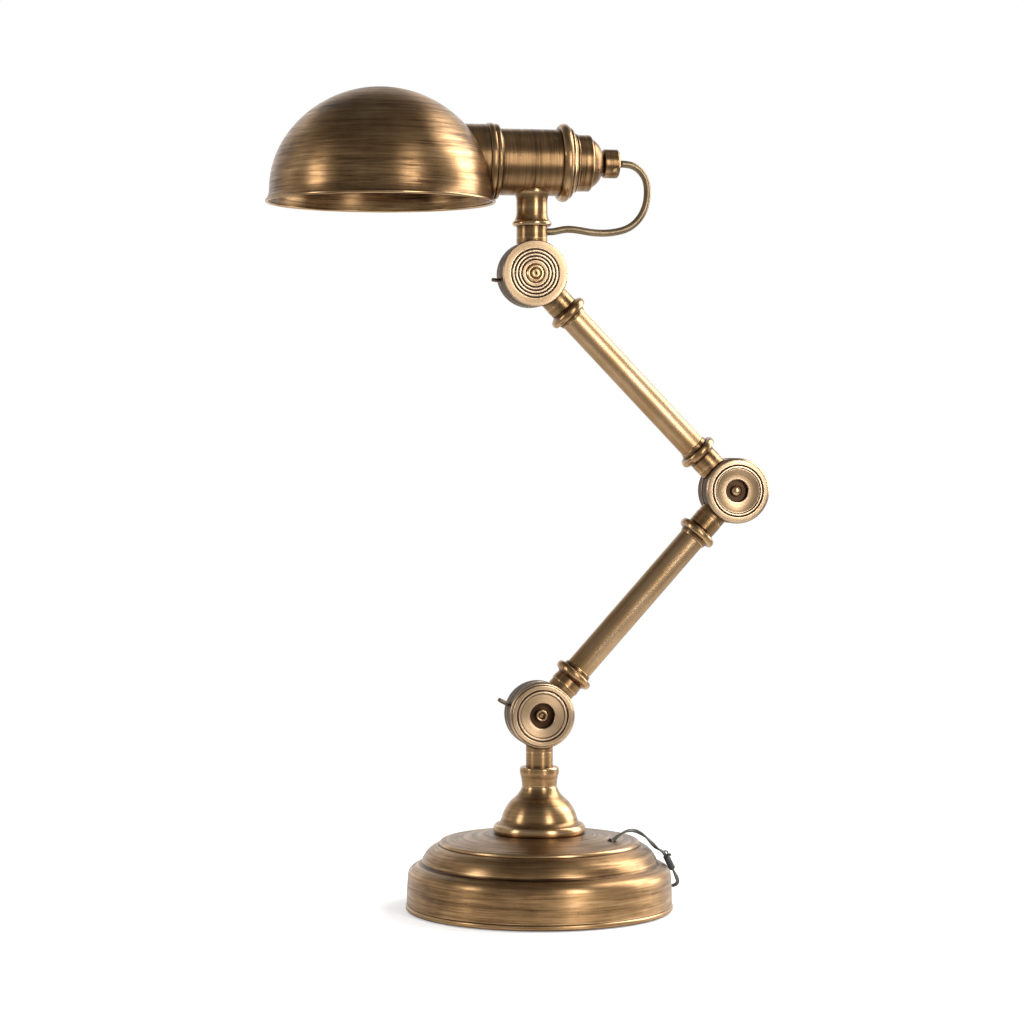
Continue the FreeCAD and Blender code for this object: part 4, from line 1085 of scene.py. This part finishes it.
@dataclass(frozen=True)
class CordTie:
    """A thread binding round the cord, with a small eye and knot at its top."""

    top: Vector
    bottom: Vector
    thread: float = 0.42
    turns: int = 16
    eye_at: Vector = Vector((-0.4, -0.55, 1.7))
    eye_radius: float = 1.62
    knot_at: Vector = Vector((2.7, 0.5, 0.4))
    knot_radius: float = 0.72

    def build(self) -> list[bpy.types.Object]:
        """Makes the binding's pieces and returns them."""
        down = (self.bottom - self.top).normalized()
        start = self.top + down * 3.2
        end = self.bottom - down * 1.2
        length = (end - start).length
        sleeve = turned("cord_binding_sleeve", [(1.3, 0.2), (1.85, 0.0), (2.0, 0.7), (2.0, length - 0.7),
                                                (1.85, length), (1.3, length - 0.2)], aimed(start, down))
        fit(sleeve, "base", "dark_binding", BINDING, "cord_tie")
        pieces = [sleeve]
        side = down.orthogonal().normalized()
        other = down.cross(side)
        winding, eye, knot = [], [], []
        for k in range(self.turns * 12 + 1):
            way = FULL_TURN * k / 12
            along = 0.5 + (length - 1.0) * k / (self.turns * 12)
            winding.append(start + down * along + (side * math.cos(way) + other * math.sin(way)) * 1.92)
        for k in range(15):
            way = FULL_TURN * k / 12 + 4.3
            spot = Vector((math.cos(way), -0.17 * math.cos(way), math.sin(way)))
            eye.append(start + self.eye_at + spot * self.eye_radius)
        for k in range(30):
            way, lift = FULL_TURN * k / 11, math.sin(FULL_TURN * k / 17)
            spot = Vector((math.cos(way), 0.8 * math.sin(way), lift * 0.8))
            knot.append(start + self.knot_at + spot * self.knot_radius)
        pieces.append(self.strand("cord_binding_thread", winding, self.thread))
        pieces.append(self.strand("cord_binding_eye", eye, 0.5))
        pieces.append(self.strand("cord_binding_knot", knot, self.thread))
        return pieces

    def strand(self, name: str, route: Sequence[Vector], radius: float) -> bpy.types.Object:
        """One thread that follows a route, set on the base.

        Args:
            name: the piece's name.
            route: its points, in millimetres.
            radius: the thread's radius.

        Returns:
            The piece.
        """
        spots = points_along(route)
        piece = tube_along(name, spots, ring_shape(radius, 8))
        return fit(piece, "base", "dark_binding", BINDING)


@dataclass
class HeadCord:
    """The brass-coloured cord that loops from the lampholder's grip back into the stem."""

    radius: float = 2.4
    length: float = 0.118
    route: list[Point] = field(default_factory=lambda: [
        (54.6, 0.0, 498.0), (60.7, 0.0, 498.0), (66.4, 0.0, 495.6), (70.7, 0.0, 491.3), (73.1, 0.0, 485.6),
        (73.6, 0.0, 478.6), (72.7, 0.0, 471.4), (70.0, 0.0, 464.6), (65.6, 0.0, 458.8), (59.6, 0.0, 454.7),
        (52.4, 0.0, 452.6), (44.0, 0.0, 451.6), (35.0, 0.0, 452.0), (26.0, 0.0, 453.6), (18.4, 0.0, 454.2),
        (13.0, 0.0, 453.1), (8.6, 0.0, 452.1), (2.6, 0.0, 452.1),
    ])

    def build(self) -> None:
        """Makes the loop as one tube along its route."""
        spots = points_along(self.route)
        loop = tube_along("head_cord_jacket", spots, ring_shape(self.radius, 24))
        loop.data.materials.append(LOOP_JACKET.material())
        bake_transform(loop)
        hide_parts("head_cord_loop")
        LOG.info("the head cord bends between the stem and the head")


# ---------------------------------------------------------------- base


@dataclass
class BaseAssembly:
    """The weighted round base: spun shell, bottom plate, bell and collar, with what is inside."""

    base_radius: float = 89.4
    skirt_radius: float = 88.7
    ledge_radius: float = 65.2
    top_height: float = 51.0
    wall: float = 1.6
    plate_top: float = 4.0
    bell_radius: float = 30.9
    bell_top: float = 82.7
    collar_radius: float = 13.0
    collar_top: float = 95.4
    lead_in: Point = (5.8, 1.3, 4.6)

    def build(self) -> None:
        """Makes every piece of the base."""
        self.make_shell()
        self.make_plate()
        self.make_bell()
        self.make_collar()
        self.make_grommet()
        dress(felt_pad=FELT, base_weight=IRON, weight_screws=STEEL, base_nipple=STEEL, base_nut=NUT_BRASS,
              base_lead=CORD_JACKET)

    def make_shell(self) -> None:
        """The shell with its hole for the cord."""
        skirt, ledge, wall = self.skirt_radius, self.ledge_radius, self.wall
        outline = [
            (skirt, self.plate_top + 0.1), (skirt, 12.0), (skirt - 0.7, 23.0), ("arc", 87.0, 26.6),
            (83.4, 29.6), (80.7, 30.6), ("arc", 79.3, 31.4), (78.7, 32.9), ("arc", 75.7, 38.3),
            (68.4, 43.4), (67.0, 43.7), ("arc", ledge + 1.5, 45.3), (ledge, 46.2), (50.0, 48.4),
            (31.6, self.top_height), (5.1, self.top_height), (5.1, self.top_height - wall),
            (31.4, self.top_height - wall), (64.0, 44.7), (66.6, 42.0), ("arc", 74.2, 37.0), (77.0, 32.4),
            (78.2, 29.9), (82.6, 28.2), ("arc", 85.6, 25.9), (skirt - 2.3, 22.8),
            (skirt - wall, self.plate_top + 0.1),
        ]
        shell = turned("base_spun_shell", outline, upright(), edge=0.5)
        way = Vector(self.lead_in).normalized()
        hole_start = Vector(CORD_EXIT) - way * 7
        hole = turned("hole", drum(0, 2.45, 0, 14.0), aimed(hole_start, way), edge=0.0)
        fit(trim(shell, hole), "base", "base_brass", BASE_BRASS, "base_shell")

    def make_plate(self) -> None:
        """The bottom plate with its turned rim. The felt hides the screw holes, so it has none here."""
        radius, top = self.base_radius, self.plate_top
        outline = [
            (84.6, 0.4), (radius - 0.9, 0.4), ("arc", 89.3, 1.3), (radius, 2.2), (radius, 3.0),
            ("arc", 89.1, 3.6), (radius - 1.2, top), (0.0, top), (0.0, 1.6), (84.6, 1.6),
        ]
        plate = turned("base_bottom_plate", outline, upright(), edge=0.3)
        fit(plate, "base", "base_brass", RIM_BRASS, "base_plate")

    def make_bell(self) -> None:
        """The bell on the ledge."""
        outline = [
            (25.5, self.top_height), (30.0, self.top_height), ("arc", self.bell_radius, 54.1), (29.7, 57.1),
            ("arc", 26.7, 58.6), (25.2, 61.6), ("arc", 22.9, 67.4), (18.2, 73.6), ("arc", 13.7, 77.9),
            (11.6, self.bell_top), (5.1, self.bell_top), (5.1, self.bell_top - 3.0),
            (9.2, self.bell_top - 3.6), ("arc", 11.4, 76.1), (16.0, 72.0), ("arc", 20.6, 66.5),
            (22.9, 60.9), (25.5, 57.2),
        ]
        bell = turned("base_spun_bell", outline, upright(), edge=0.5)
        fit(bell, "base", "bell_brass", BELL_BRASS, "base_bell")

    def make_collar(self) -> None:
        """The collar on the bell, in which the post turns."""
        outline = [
            (5.06, self.bell_top), (11.6, self.bell_top), ("arc", 11.9, 86.6),
            (self.collar_radius - 0.2, 90.6), (self.collar_radius, 91.2),
            (self.collar_radius, self.collar_top - 0.9), (self.collar_radius - 0.6, self.collar_top),
            (9.08, self.collar_top), (9.08, 88.8), (10.6, 88.8), (10.6, 85.2), (5.06, 85.2),
        ]
        fit(turned("base_turned_collar", outline, upright(), edge=0.35), "base", "bell_brass", BELL_BRASS,
            "base_collar")

    def make_grommet(self) -> None:
        """The bush in the ledge's hole."""
        way = Vector(self.lead_in).normalized()
        start = Vector(CORD_EXIT) - way * 2.6
        outline = [(1.35, 0), (2.4, 0), (2.4, 4.2), (2.0, 4.8), (1.35, 4.8)]
        bush = turned("cord_hole_bush", outline, aimed(start, way), edge=0.2)
        fit(bush, "base", "dark_plastic", PLUG_PLASTIC, "cord_grommet")


# ---------------------------------------------------------------- knuckles and arms


@dataclass(frozen=True)
class KnuckleHalf:
    """One half of a knuckle: a faced disc on its own side of the gap, and the boss that carries it."""

    name: str
    body: str
    side: int
    face: tuple
    boss_radius: float = 9.4
    boss_top: float = 25.0
    spigot_radius: float = 7.2
    spigot_top: float = 38.0
    disc_radius: float = 22.0
    gap: float = 2.25
    bolt_hole: float = 3.08
    clear_radius: float = 22.5

    def build(self, place: Matrix) -> None:
        """Makes the disc and the boss.

        Args:
            place: the knuckle's place, with local Z along its member.
        """
        gap = self.gap * self.side
        bolt = self.bolt_hole
        outline = [(bolt, gap), (self.disc_radius, gap), *self.face, (bolt, 6.6 * self.side)]
        centre = disc_place(upright(*(place.translation / MM)))
        disc = turned(f"{self.name}_disc", outline, centre, edge=0.35)
        fit(disc, self.body, "knuckle_brass", KNUCKLE_BRASS, self.name)
        root = 14.0
        stub = [
            (0, root), (self.boss_radius, root), (self.boss_radius, self.boss_top),
            (self.spigot_radius, self.boss_top), (self.spigot_radius, self.spigot_top),
            (0, self.spigot_top),
        ]
        boss = turned(f"{self.name}_boss", stub, place, edge=0.1)
        depth = 16.5
        start = gap if self.side < 0 else gap - depth
        tool = turned("sweep", drum(0, self.clear_radius, start, start + depth), centre, edge=0.0)
        fit(trim(boss, tool), self.body, "knuckle_brass", BOSS_BRASS, self.name)


LOWER_FACE = (
    (22.0, -9.6), ("arc", 21.7, -10.9), (20.6, -11.4), (20.4, -12.6), (19.9, -13.0), (17.5, -13.0),
    (17.2, -12.1), (16.6, -12.1), (16.3, -12.9), (15.2, -12.9), (14.8, -12.2), (8.9, -12.0), (8.4, -11.6),
    (8.4, -6.6),
)
ELBOW_FACE = (
    (22.0, -10.4), ("arc", 21.4, -12.0), (19.8, -12.9), (17.7, -13.0), (17.4, -12.0), (16.9, -12.0),
    (16.6, -13.0), (15.6, -13.0), (15.3, -12.0), (14.8, -12.2), ("arc", 11.5, -10.9), (7.9, -10.4),
    (7.5, -9.8), (7.5, -6.6),
)
BACK_FACE = (
    (22.0, 10.6), ("arc", 21.4, 12.1), (19.8, 12.9), (17.7, 13.0), (17.4, 12.1), (16.9, 12.1), (16.6, 13.0),
    (8.4, 13.0), (7.8, 12.4), (7.8, 6.6),
)


def target_face() -> tuple:
    """A flat rim and a raised target of rings, on the front of the head knuckle."""
    face = [(22.0, -12.0), ("arc", 21.7, -12.7), (21.0, -13.0)]
    for radius in (15.9, 13.6, 11.3, 9.1):
        face += [(radius + 0.5, -13.0), (radius + 0.3, -12.1), (radius - 0.3, -12.1), (radius - 0.5, -13.0)]
    return (*face, (6.8, -13.0), (6.2, -12.6), (6.2, -6.6))


@dataclass(frozen=True)
class Pivot:
    """A pivot bolt with its own head, and the nut behind it."""

    name: str
    body: str
    head: tuple

    def build(self, centre: Vector) -> None:
        """Makes the bolt, and dresses the nut."""
        shank = [(3.0, -6.7), (3.0, 12.2), (2.6, 12.6), (0, 12.6)]
        place = disc_place(upright(*centre))
        bolt = turned(f"{self.name}_bolt_turned", [*self.head, *shank], place, edge=0.2)
        fit(bolt, self.body, "bolt_brass", BOLT_BRASS, f"{self.name}_bolt")
        dress(**{f"{self.name}_nut": STEEL})


RINGED_HEAD = ((0, -8.4), (1.7, -8.4), (2.2, -9.2), (2.6, -10.4), (3.6, -10.4), (4.1, -9.8), (4.1, -6.7))
ROUND_HEAD = ((0, -10.4), ("arc", 2.3, -9.9), (3.7, -8.6), (3.7, -6.7))
HUB_HEAD = ((0, -13.2), (0.7, -13.2), (1.1, -13.9), (2.6, -13.9), (2.9, -13.3), (3.6, -13.1), (4.2, -13.5),
            (5.2, -13.5), (5.9, -12.8), (5.9, -6.7))


GAP_FILL = (18.5, -1.95, 1.95)


@dataclass(frozen=True)
class ClampLever:
    """A cam ring in a knuckle's gap, with a short bent peg that clamps or frees the joint."""

    name: str
    body: str
    root: tuple[float, float]
    tip: tuple[float, float]
    peg_radius: float

    def build(self, centre: Vector) -> None:
        """Makes the ring and the peg."""
        place = disc_place(upright(*centre))
        ring = turned(f"{self.name}_cam", drum(6.4, *GAP_FILL), place, edge=0.3)
        fit(ring, self.body, "lever_brass", LEVER_BRASS, self.name)
        start = centre + Vector((self.root[0], 0, self.root[1]))
        end = centre + Vector((self.tip[0], 0, self.tip[1]))
        inside = centre + (start - centre) * (15.5 / (start - centre).length)
        way = (end - start).normalized()
        route = [inside, start - (start - inside) * 0.35, start, start + way * 1.6, end - way * 0.2, end]
        spots = points_along(route)
        count = len(spots)
        sizes = [1.0] * (count - 6) + [0.99, 0.96, 0.9, 0.8, 0.62, 0.3]
        peg = tube_along(f"{self.name}_peg", spots, ring_shape(self.peg_radius, 20), scale=sizes)
        fit(peg, self.body, "lever_brass", LEVER_BRASS, self.name)


@dataclass(frozen=True)
class Ferrule:
    """The turned collar between a knuckle's boss and an arm's tube, with a bead round it."""

    name: str
    body: str
    bead_at: float
    root_radius: float
    bead_radius: float = 13.5
    start: float = 24.9

    def build(self, place: Matrix) -> None:
        """Makes the ferrule at its knuckle's place."""
        bead, at = self.bead_radius, self.bead_at
        outline = [
            (7.25, self.start), (self.root_radius, self.start), (9.5, at - 3.9), (bead - 2.6, at - 3.0),
            (bead - 0.9, at - 2.3), ("arc", bead, at), (bead - 0.9, at + 2.3), (bead - 3.0, at + 2.6),
            (10.0, at + 3.1), (9.5, at + 5.4), (8.85, at + 5.6), (8.85, at - 1.0), (7.25, at - 1.0),
        ]
        piece = turned(f"{self.name}_turned", outline, place, edge=0.35)
        fit(piece, self.body, "ferrule_brass", FERRULE_BRASS, self.name)


@dataclass
class Arm:
    """An arm between two knuckles: its half knuckles, ferrules, tube and inner lead."""

    name: str
    start: Vector
    angle: float
    beads: tuple[float, float]
    roots: tuple[float, float]
    side: int
    faces: tuple

    def build(self) -> None:
        """Makes every piece of the arm."""
        end = reach(self.start, self.angle)
        near, far = member(self.start, self.angle), member(end, self.angle + 180.0)
        Ferrule(f"{self.name}_bottom_ferrule", self.name, self.beads[0], self.roots[0]).build(near)
        Ferrule(f"{self.name}_top_ferrule", self.name, self.beads[1], self.roots[1]).build(far)
        KnuckleHalf(f"{self.name}_bottom_knuckle", self.name, self.side, self.faces[0]).build(near)
        KnuckleHalf(f"{self.name}_top_knuckle", self.name, self.side, self.faces[1]).build(far)
        low, high = self.beads[0] - 0.9, ARM_LENGTH - self.beads[1] + 0.9
        tube = turned(f"{self.name}_drawn_tube", drum(7.3, 8.8, low, high), near, edge=0.2)
        fit(tube, self.name, "tube_brass", TUBE_BRASS, f"{self.name}_tube")
        dress(**{f"{self.name}_lead": CORD_JACKET})


@dataclass
class PostAssembly:
    """The short post that turns in the base's collar, with the back half of the lower knuckle."""

    radius: float = 9.0
    top: float = 105.5

    def build(self) -> None:
        """Makes the post, its knuckle, the lower pivot and its clamp lever."""
        outline = [(7.25, 85.6), (10.3, 85.6), (10.3, 88.4), (self.radius, 88.4), (self.radius, self.top),
                   (7.25, self.top)]
        fit(turned("post_turned_tube", outline, upright(), edge=0.1), "post", "post_brass", POST_BRASS,
            "post_tube")
        knuckle = KnuckleHalf("post_knuckle", "post", 1, BACK_FACE, boss_radius=self.radius)
        knuckle.build(member(LOWER, -90.0))
        Pivot("lower_pivot", "post", RINGED_HEAD).build(LOWER)
        ClampLever("lower_clamp_lever", "lower_lever", (-19.7, 6.1), (-28.0, 10.5), 1.45).build(LOWER)
        dress(post_lead=CORD_JACKET)


@dataclass
class ElbowFittings:
    """The elbow's pivot and its friction washer."""

    def build(self) -> None:
        """Makes the elbow's bolt and washer."""
        Pivot("elbow_pivot", "lower_arm", ROUND_HEAD).build(ELBOW)
        washer = turned("elbow_washer_turned", drum(3.2, *GAP_FILL), disc_place(upright(*ELBOW)), edge=0.3)
        fit(washer, "lower_arm", "lever_brass", LEVER_BRASS, "elbow_friction_washer")


# ---------------------------------------------------------------- head


@dataclass
class HeadStem:
    """The short stem over the head knuckle, the knuckle's front half, and what the lampholder turns on."""

    radius: float = 10.3
    top: float = 455.5

    def build(self) -> None:
        """Makes the stem and the head knuckle."""
        bottom = HEAD.z + 23.9
        outline = drum(7.25, self.radius, bottom, self.top)
        stem = turned("stem_turned_tube", outline, upright(HEAD.x), edge=0.1)
        hole = turned("hole", drum(0, 2.5, 0, 12.0), aimed((HEAD.x + 6.0, 0, 452.1), (1, 0, 0)), edge=0.0)
        fit(trim(stem, hole), "stem", "post_brass", POST_BRASS, "stem")
        knuckle = KnuckleHalf("head_knuckle", "stem", -1, target_face(), boss_radius=self.radius,
                              boss_top=24.0, spigot_top=31.0)
        knuckle.build(member(HEAD, 90.0))
        Pivot("head_pivot", "upper_arm", HUB_HEAD).build(HEAD)
        ClampLever("head_clamp_lever", "head_lever", (-20.4, -4.6), (-27.3, -3.8), 1.3).build(HEAD)
        dress(swivel_stud=STEEL, swivel_nut=STEEL)


@dataclass
class Lampholder:
    """The lampholder: its tee, beaded rear ring, stepped cap, cord grip, socket and bulb."""

    radius: float = 22.0
    bore: float = 20.4
    spigot: float = 21.5
    spigot_end: float = -44.0
    neck_radius: float = 10.3

    def build(self) -> None:
        """Makes every piece of the lampholder."""
        self.make_barrel()
        self.make_neck()
        self.make_rear()
        self.make_grip()
        dress(socket_insulator=CERAMIC, socket_shell=SOCKET_BRASS, socket_contact=SOCKET_BRASS,
              bulb_cap=CAP_METAL, bulb_glass=GLASS, shade_ring=NUT_BRASS)

    def make_barrel(self) -> None:
        """The tube along the lampholder's axis, with its front flange and spigot."""
        outline = [
            (self.bore, self.spigot_end), (self.spigot, self.spigot_end), (self.spigot, -31.5),
            (24.6, -31.5), ("arc", 25.1, -30.0), (24.6, -28.6), (22.6, -28.2), (self.radius, -27.2),
            (self.radius, 20.0), (self.bore, 20.0),
        ]
        barrel = turned("lampholder_barrel", outline, HOLDER_AXIS, edge=0.35)
        fit(barrel, "head", "holder_brass", HOLDER_BRASS, "lampholder_body")

    def make_neck(self) -> None:
        """The neck that turns on the stem, with its collar ring."""
        radius = self.neck_radius
        outline = [
            (3.98, 455.7), (12.2, 455.7), ("arc", 13.1, 457.4), (12.3, 459.0), (11.7, 459.4),
            ("arc", 10.7, 462.0), (radius, 466.5), (radius, 472.0), ("arc", 10.7, 475.0), (12.2, 478.0),
            (12.2, 488.0), (8.2, 488.0), (8.2, 469.4), (3.98, 469.4),
        ]
        neck = turned("lampholder_neck", outline, upright(HEAD.x), edge=0.35)
        tool = turned("inside", drum(0, self.bore + 0.4, -60, 60), HOLDER_AXIS, edge=0.0)
        fit(trim(neck, tool), "head", "holder_brass", POST_BRASS, "lampholder_body")

    def make_rear(self) -> None:
        """The beaded rear ring and the stepped cap."""
        ring = [
            (22.05, 12.6), (24.2, 12.6), ("arc", 25.9, 15.2), (24.9, 18.6), (23.5, 19.0), (23.5, 20.4),
            (22.6, 21.3), (19.0, 21.3), (19.0, 20.1), (22.05, 20.1),
        ]
        fit(turned("holder_beaded_ring", ring, HOLDER_AXIS, edge=0.35), "head", "holder_brass", RING_BRASS,
            "holder_ring")
        cap = [
            (16.8, 21.4), (20.6, 21.4), (20.8, 22.2), (20.2, 22.7), (19.4, 22.9), (19.6, 23.7),
            (19.4, 24.5), (18.7, 24.8), (18.7, 33.2), (17.9, 34.1), (16.4, 34.5), ("arc", 12.8, 39.2),
            (8.3, 41.6), (6.6, 41.8), (6.1, 41.8), (6.1, 38.6), (11.4, 36.4), (15.2, 32.4), (16.8, 30.6),
        ]
        fit(turned("holder_stepped_cap", cap, HOLDER_AXIS, edge=0.3), "head", "holder_brass", HOLDER_BRASS,
            "holder_cap")

    def make_grip(self) -> None:
        """The cord grip with its grub screw, and the sleeve that the cord leaves by."""
        grip = [(3.4, 38.8), (6.0, 38.8), (6.0, 42.9), (8.8, 42.9), (9.6, 43.6), (9.6, 52.2), (8.6, 53.3),
                (3.4, 53.3)]
        nut = turned("cord_grip_turned", grip, HOLDER_AXIS, edge=0.3)
        toward = Vector((0.0, -0.86, -0.51))
        at = Vector((49.4, 0.0, HOLDER_HEIGHT))
        hole = turned("hole", drum(0, 1.6, 0, 8.0), aimed(at + toward * 3.0, toward), edge=0.0)
        fit(trim(nut, hole), "head", "holder_brass", HOLDER_BRASS, "cord_grip_nut")
        screw = [(0, 3.6), (1.5, 3.6), (1.5, 9.6), (1.2, 10.0), (0, 10.0)]
        grub = turned("grub_screw_turned", screw, aimed(at, toward), edge=0.15)
        fit(grub, "head", "bolt_brass", BOLT_BRASS, "grub_screw")
        sleeve = [(0, 46.0), (3.3, 46.0), (3.3, 53.4), (3.0, 54.2), (2.5, 54.6), (0, 54.6)]
        fit(turned("cord_sleeve_turned", sleeve, HOLDER_AXIS, edge=0.2), "head", "holder_brass", POST_BRASS,
            "cord_sleeve")


@dataclass
class Shade:
    """The spun dome with its rolled rim, and the collar that turns on the lampholder."""

    centre: float = -106.4
    radius: float = 73.3
    middle: float = 477.8
    rise: float = 67.8
    drop: float = 8.0
    wall: float = 1.0
    rim: float = 75.9
    rim_height: float = 469.6
    sleeve: float = 24.9

    def dome(self, inset: float) -> list[tuple]:
        """The dome from its top down to its widest: a round crown, and a tighter round side.

        Args:
            inset: how far inside the outer surface, in millimetres.

        Returns:
            Its outline.
        """
        slack = self.rise + self.drop - self.radius
        aside = (self.drop**2 - slack**2) / (2 * slack)
        crown, side = self.rise + self.drop - inset, self.radius - aside - inset
        lean = math.atan2(aside, self.drop)
        upper, lower = lean / 2, (lean + math.pi / 2) / 2
        return [
            (0, self.middle - self.drop + crown),
            ("arc", crown * math.sin(upper), self.middle - self.drop + crown * math.cos(upper)),
            (crown * math.sin(lean), self.middle - self.drop + crown * math.cos(lean)),
            ("arc", aside + side * math.sin(lower), self.middle + side * math.cos(lower)),
            (aside + side, self.middle),
        ]

    def build(self) -> None:
        """Makes the dome and its collar."""
        radius, wall, rim, low = self.radius, self.wall, self.rim, self.rim_height
        outer = self.dome(0.0) + [
            ("arc", radius + 0.5, low + 5.0), (rim - 0.9, low + 2.2), ("arc", rim, low + 1.1),
            (rim - 0.9, low), ("arc", rim - 1.9, low + 0.6), (rim - 2.0, low + 1.6),
            (radius - wall + 0.4, low + 5.0),
        ]
        inner = self.dome(wall)
        inner.reverse()
        dome = turned("shade_spun_dome", outer + inner, upright(self.centre, 0, 0), edge=0.4)
        tool = turned("collar_room", [(0, -58.0), (self.sleeve, -58.0), (self.sleeve, -36.2), (25.9, -36.2),
                                      (25.9, -30.0), (0, -30.0)], HOLDER_AXIS, edge=0.0)
        fit(trim(dome, tool), "shade", "shade_brass", SHADE_BRASS, "shade")
        self.make_collar(inner)

    def make_collar(self, inner: list[tuple]) -> None:
        """The collar soldered into the dome, cut flush with the dome's inside.

        Args:
            inner: the outline of the dome's inside.
        """
        outline = [
            (21.58, -40.0), (23.6, -40.0), (23.6, -56.0), (self.sleeve - 0.1, -56.0),
            (self.sleeve - 0.1, -36.0), (25.3, -35.9), ("arc", 25.7, -33.9), (25.3, -32.0), (21.58, -32.0),
        ]
        collar = turned("shade_turned_collar", outline, HOLDER_AXIS, edge=0.3)
        below = self.rim_height - 5.0
        tool = turned("shade_hollow", [(0, below), (inner[0][0], below), *inner], upright(self.centre, 0, 0),
                      edge=0.0)
        fit(trim(collar, tool), "shade", "shade_brass", RING_BRASS, "shade_collar")


# ---------------------------------------------------------------- the lamp


def main() -> None:
    """Builds the studio and the lamp."""
    logging.basicConfig(level=logging.INFO, format="%(name)s: %(message)s")
    random.seed(7)
    Studio().build()
    MainsCord().build()
    HeadCord().build()
    BaseAssembly().build()
    PostAssembly().build()
    Arm("lower_arm", LOWER, LOWER_ANGLE, (34.9, 38.0), (10.2, 9.6), -1, (LOWER_FACE, ELBOW_FACE)).build()
    ElbowFittings().build()
    Arm("upper_arm", ELBOW, UPPER_ANGLE, (36.0, 35.4), (9.6, 9.6), 1, (BACK_FACE, BACK_FACE)).build()
    HeadStem().build()
    Lampholder().build()
    Shade().build()


if __name__ == "__main__":
    main()
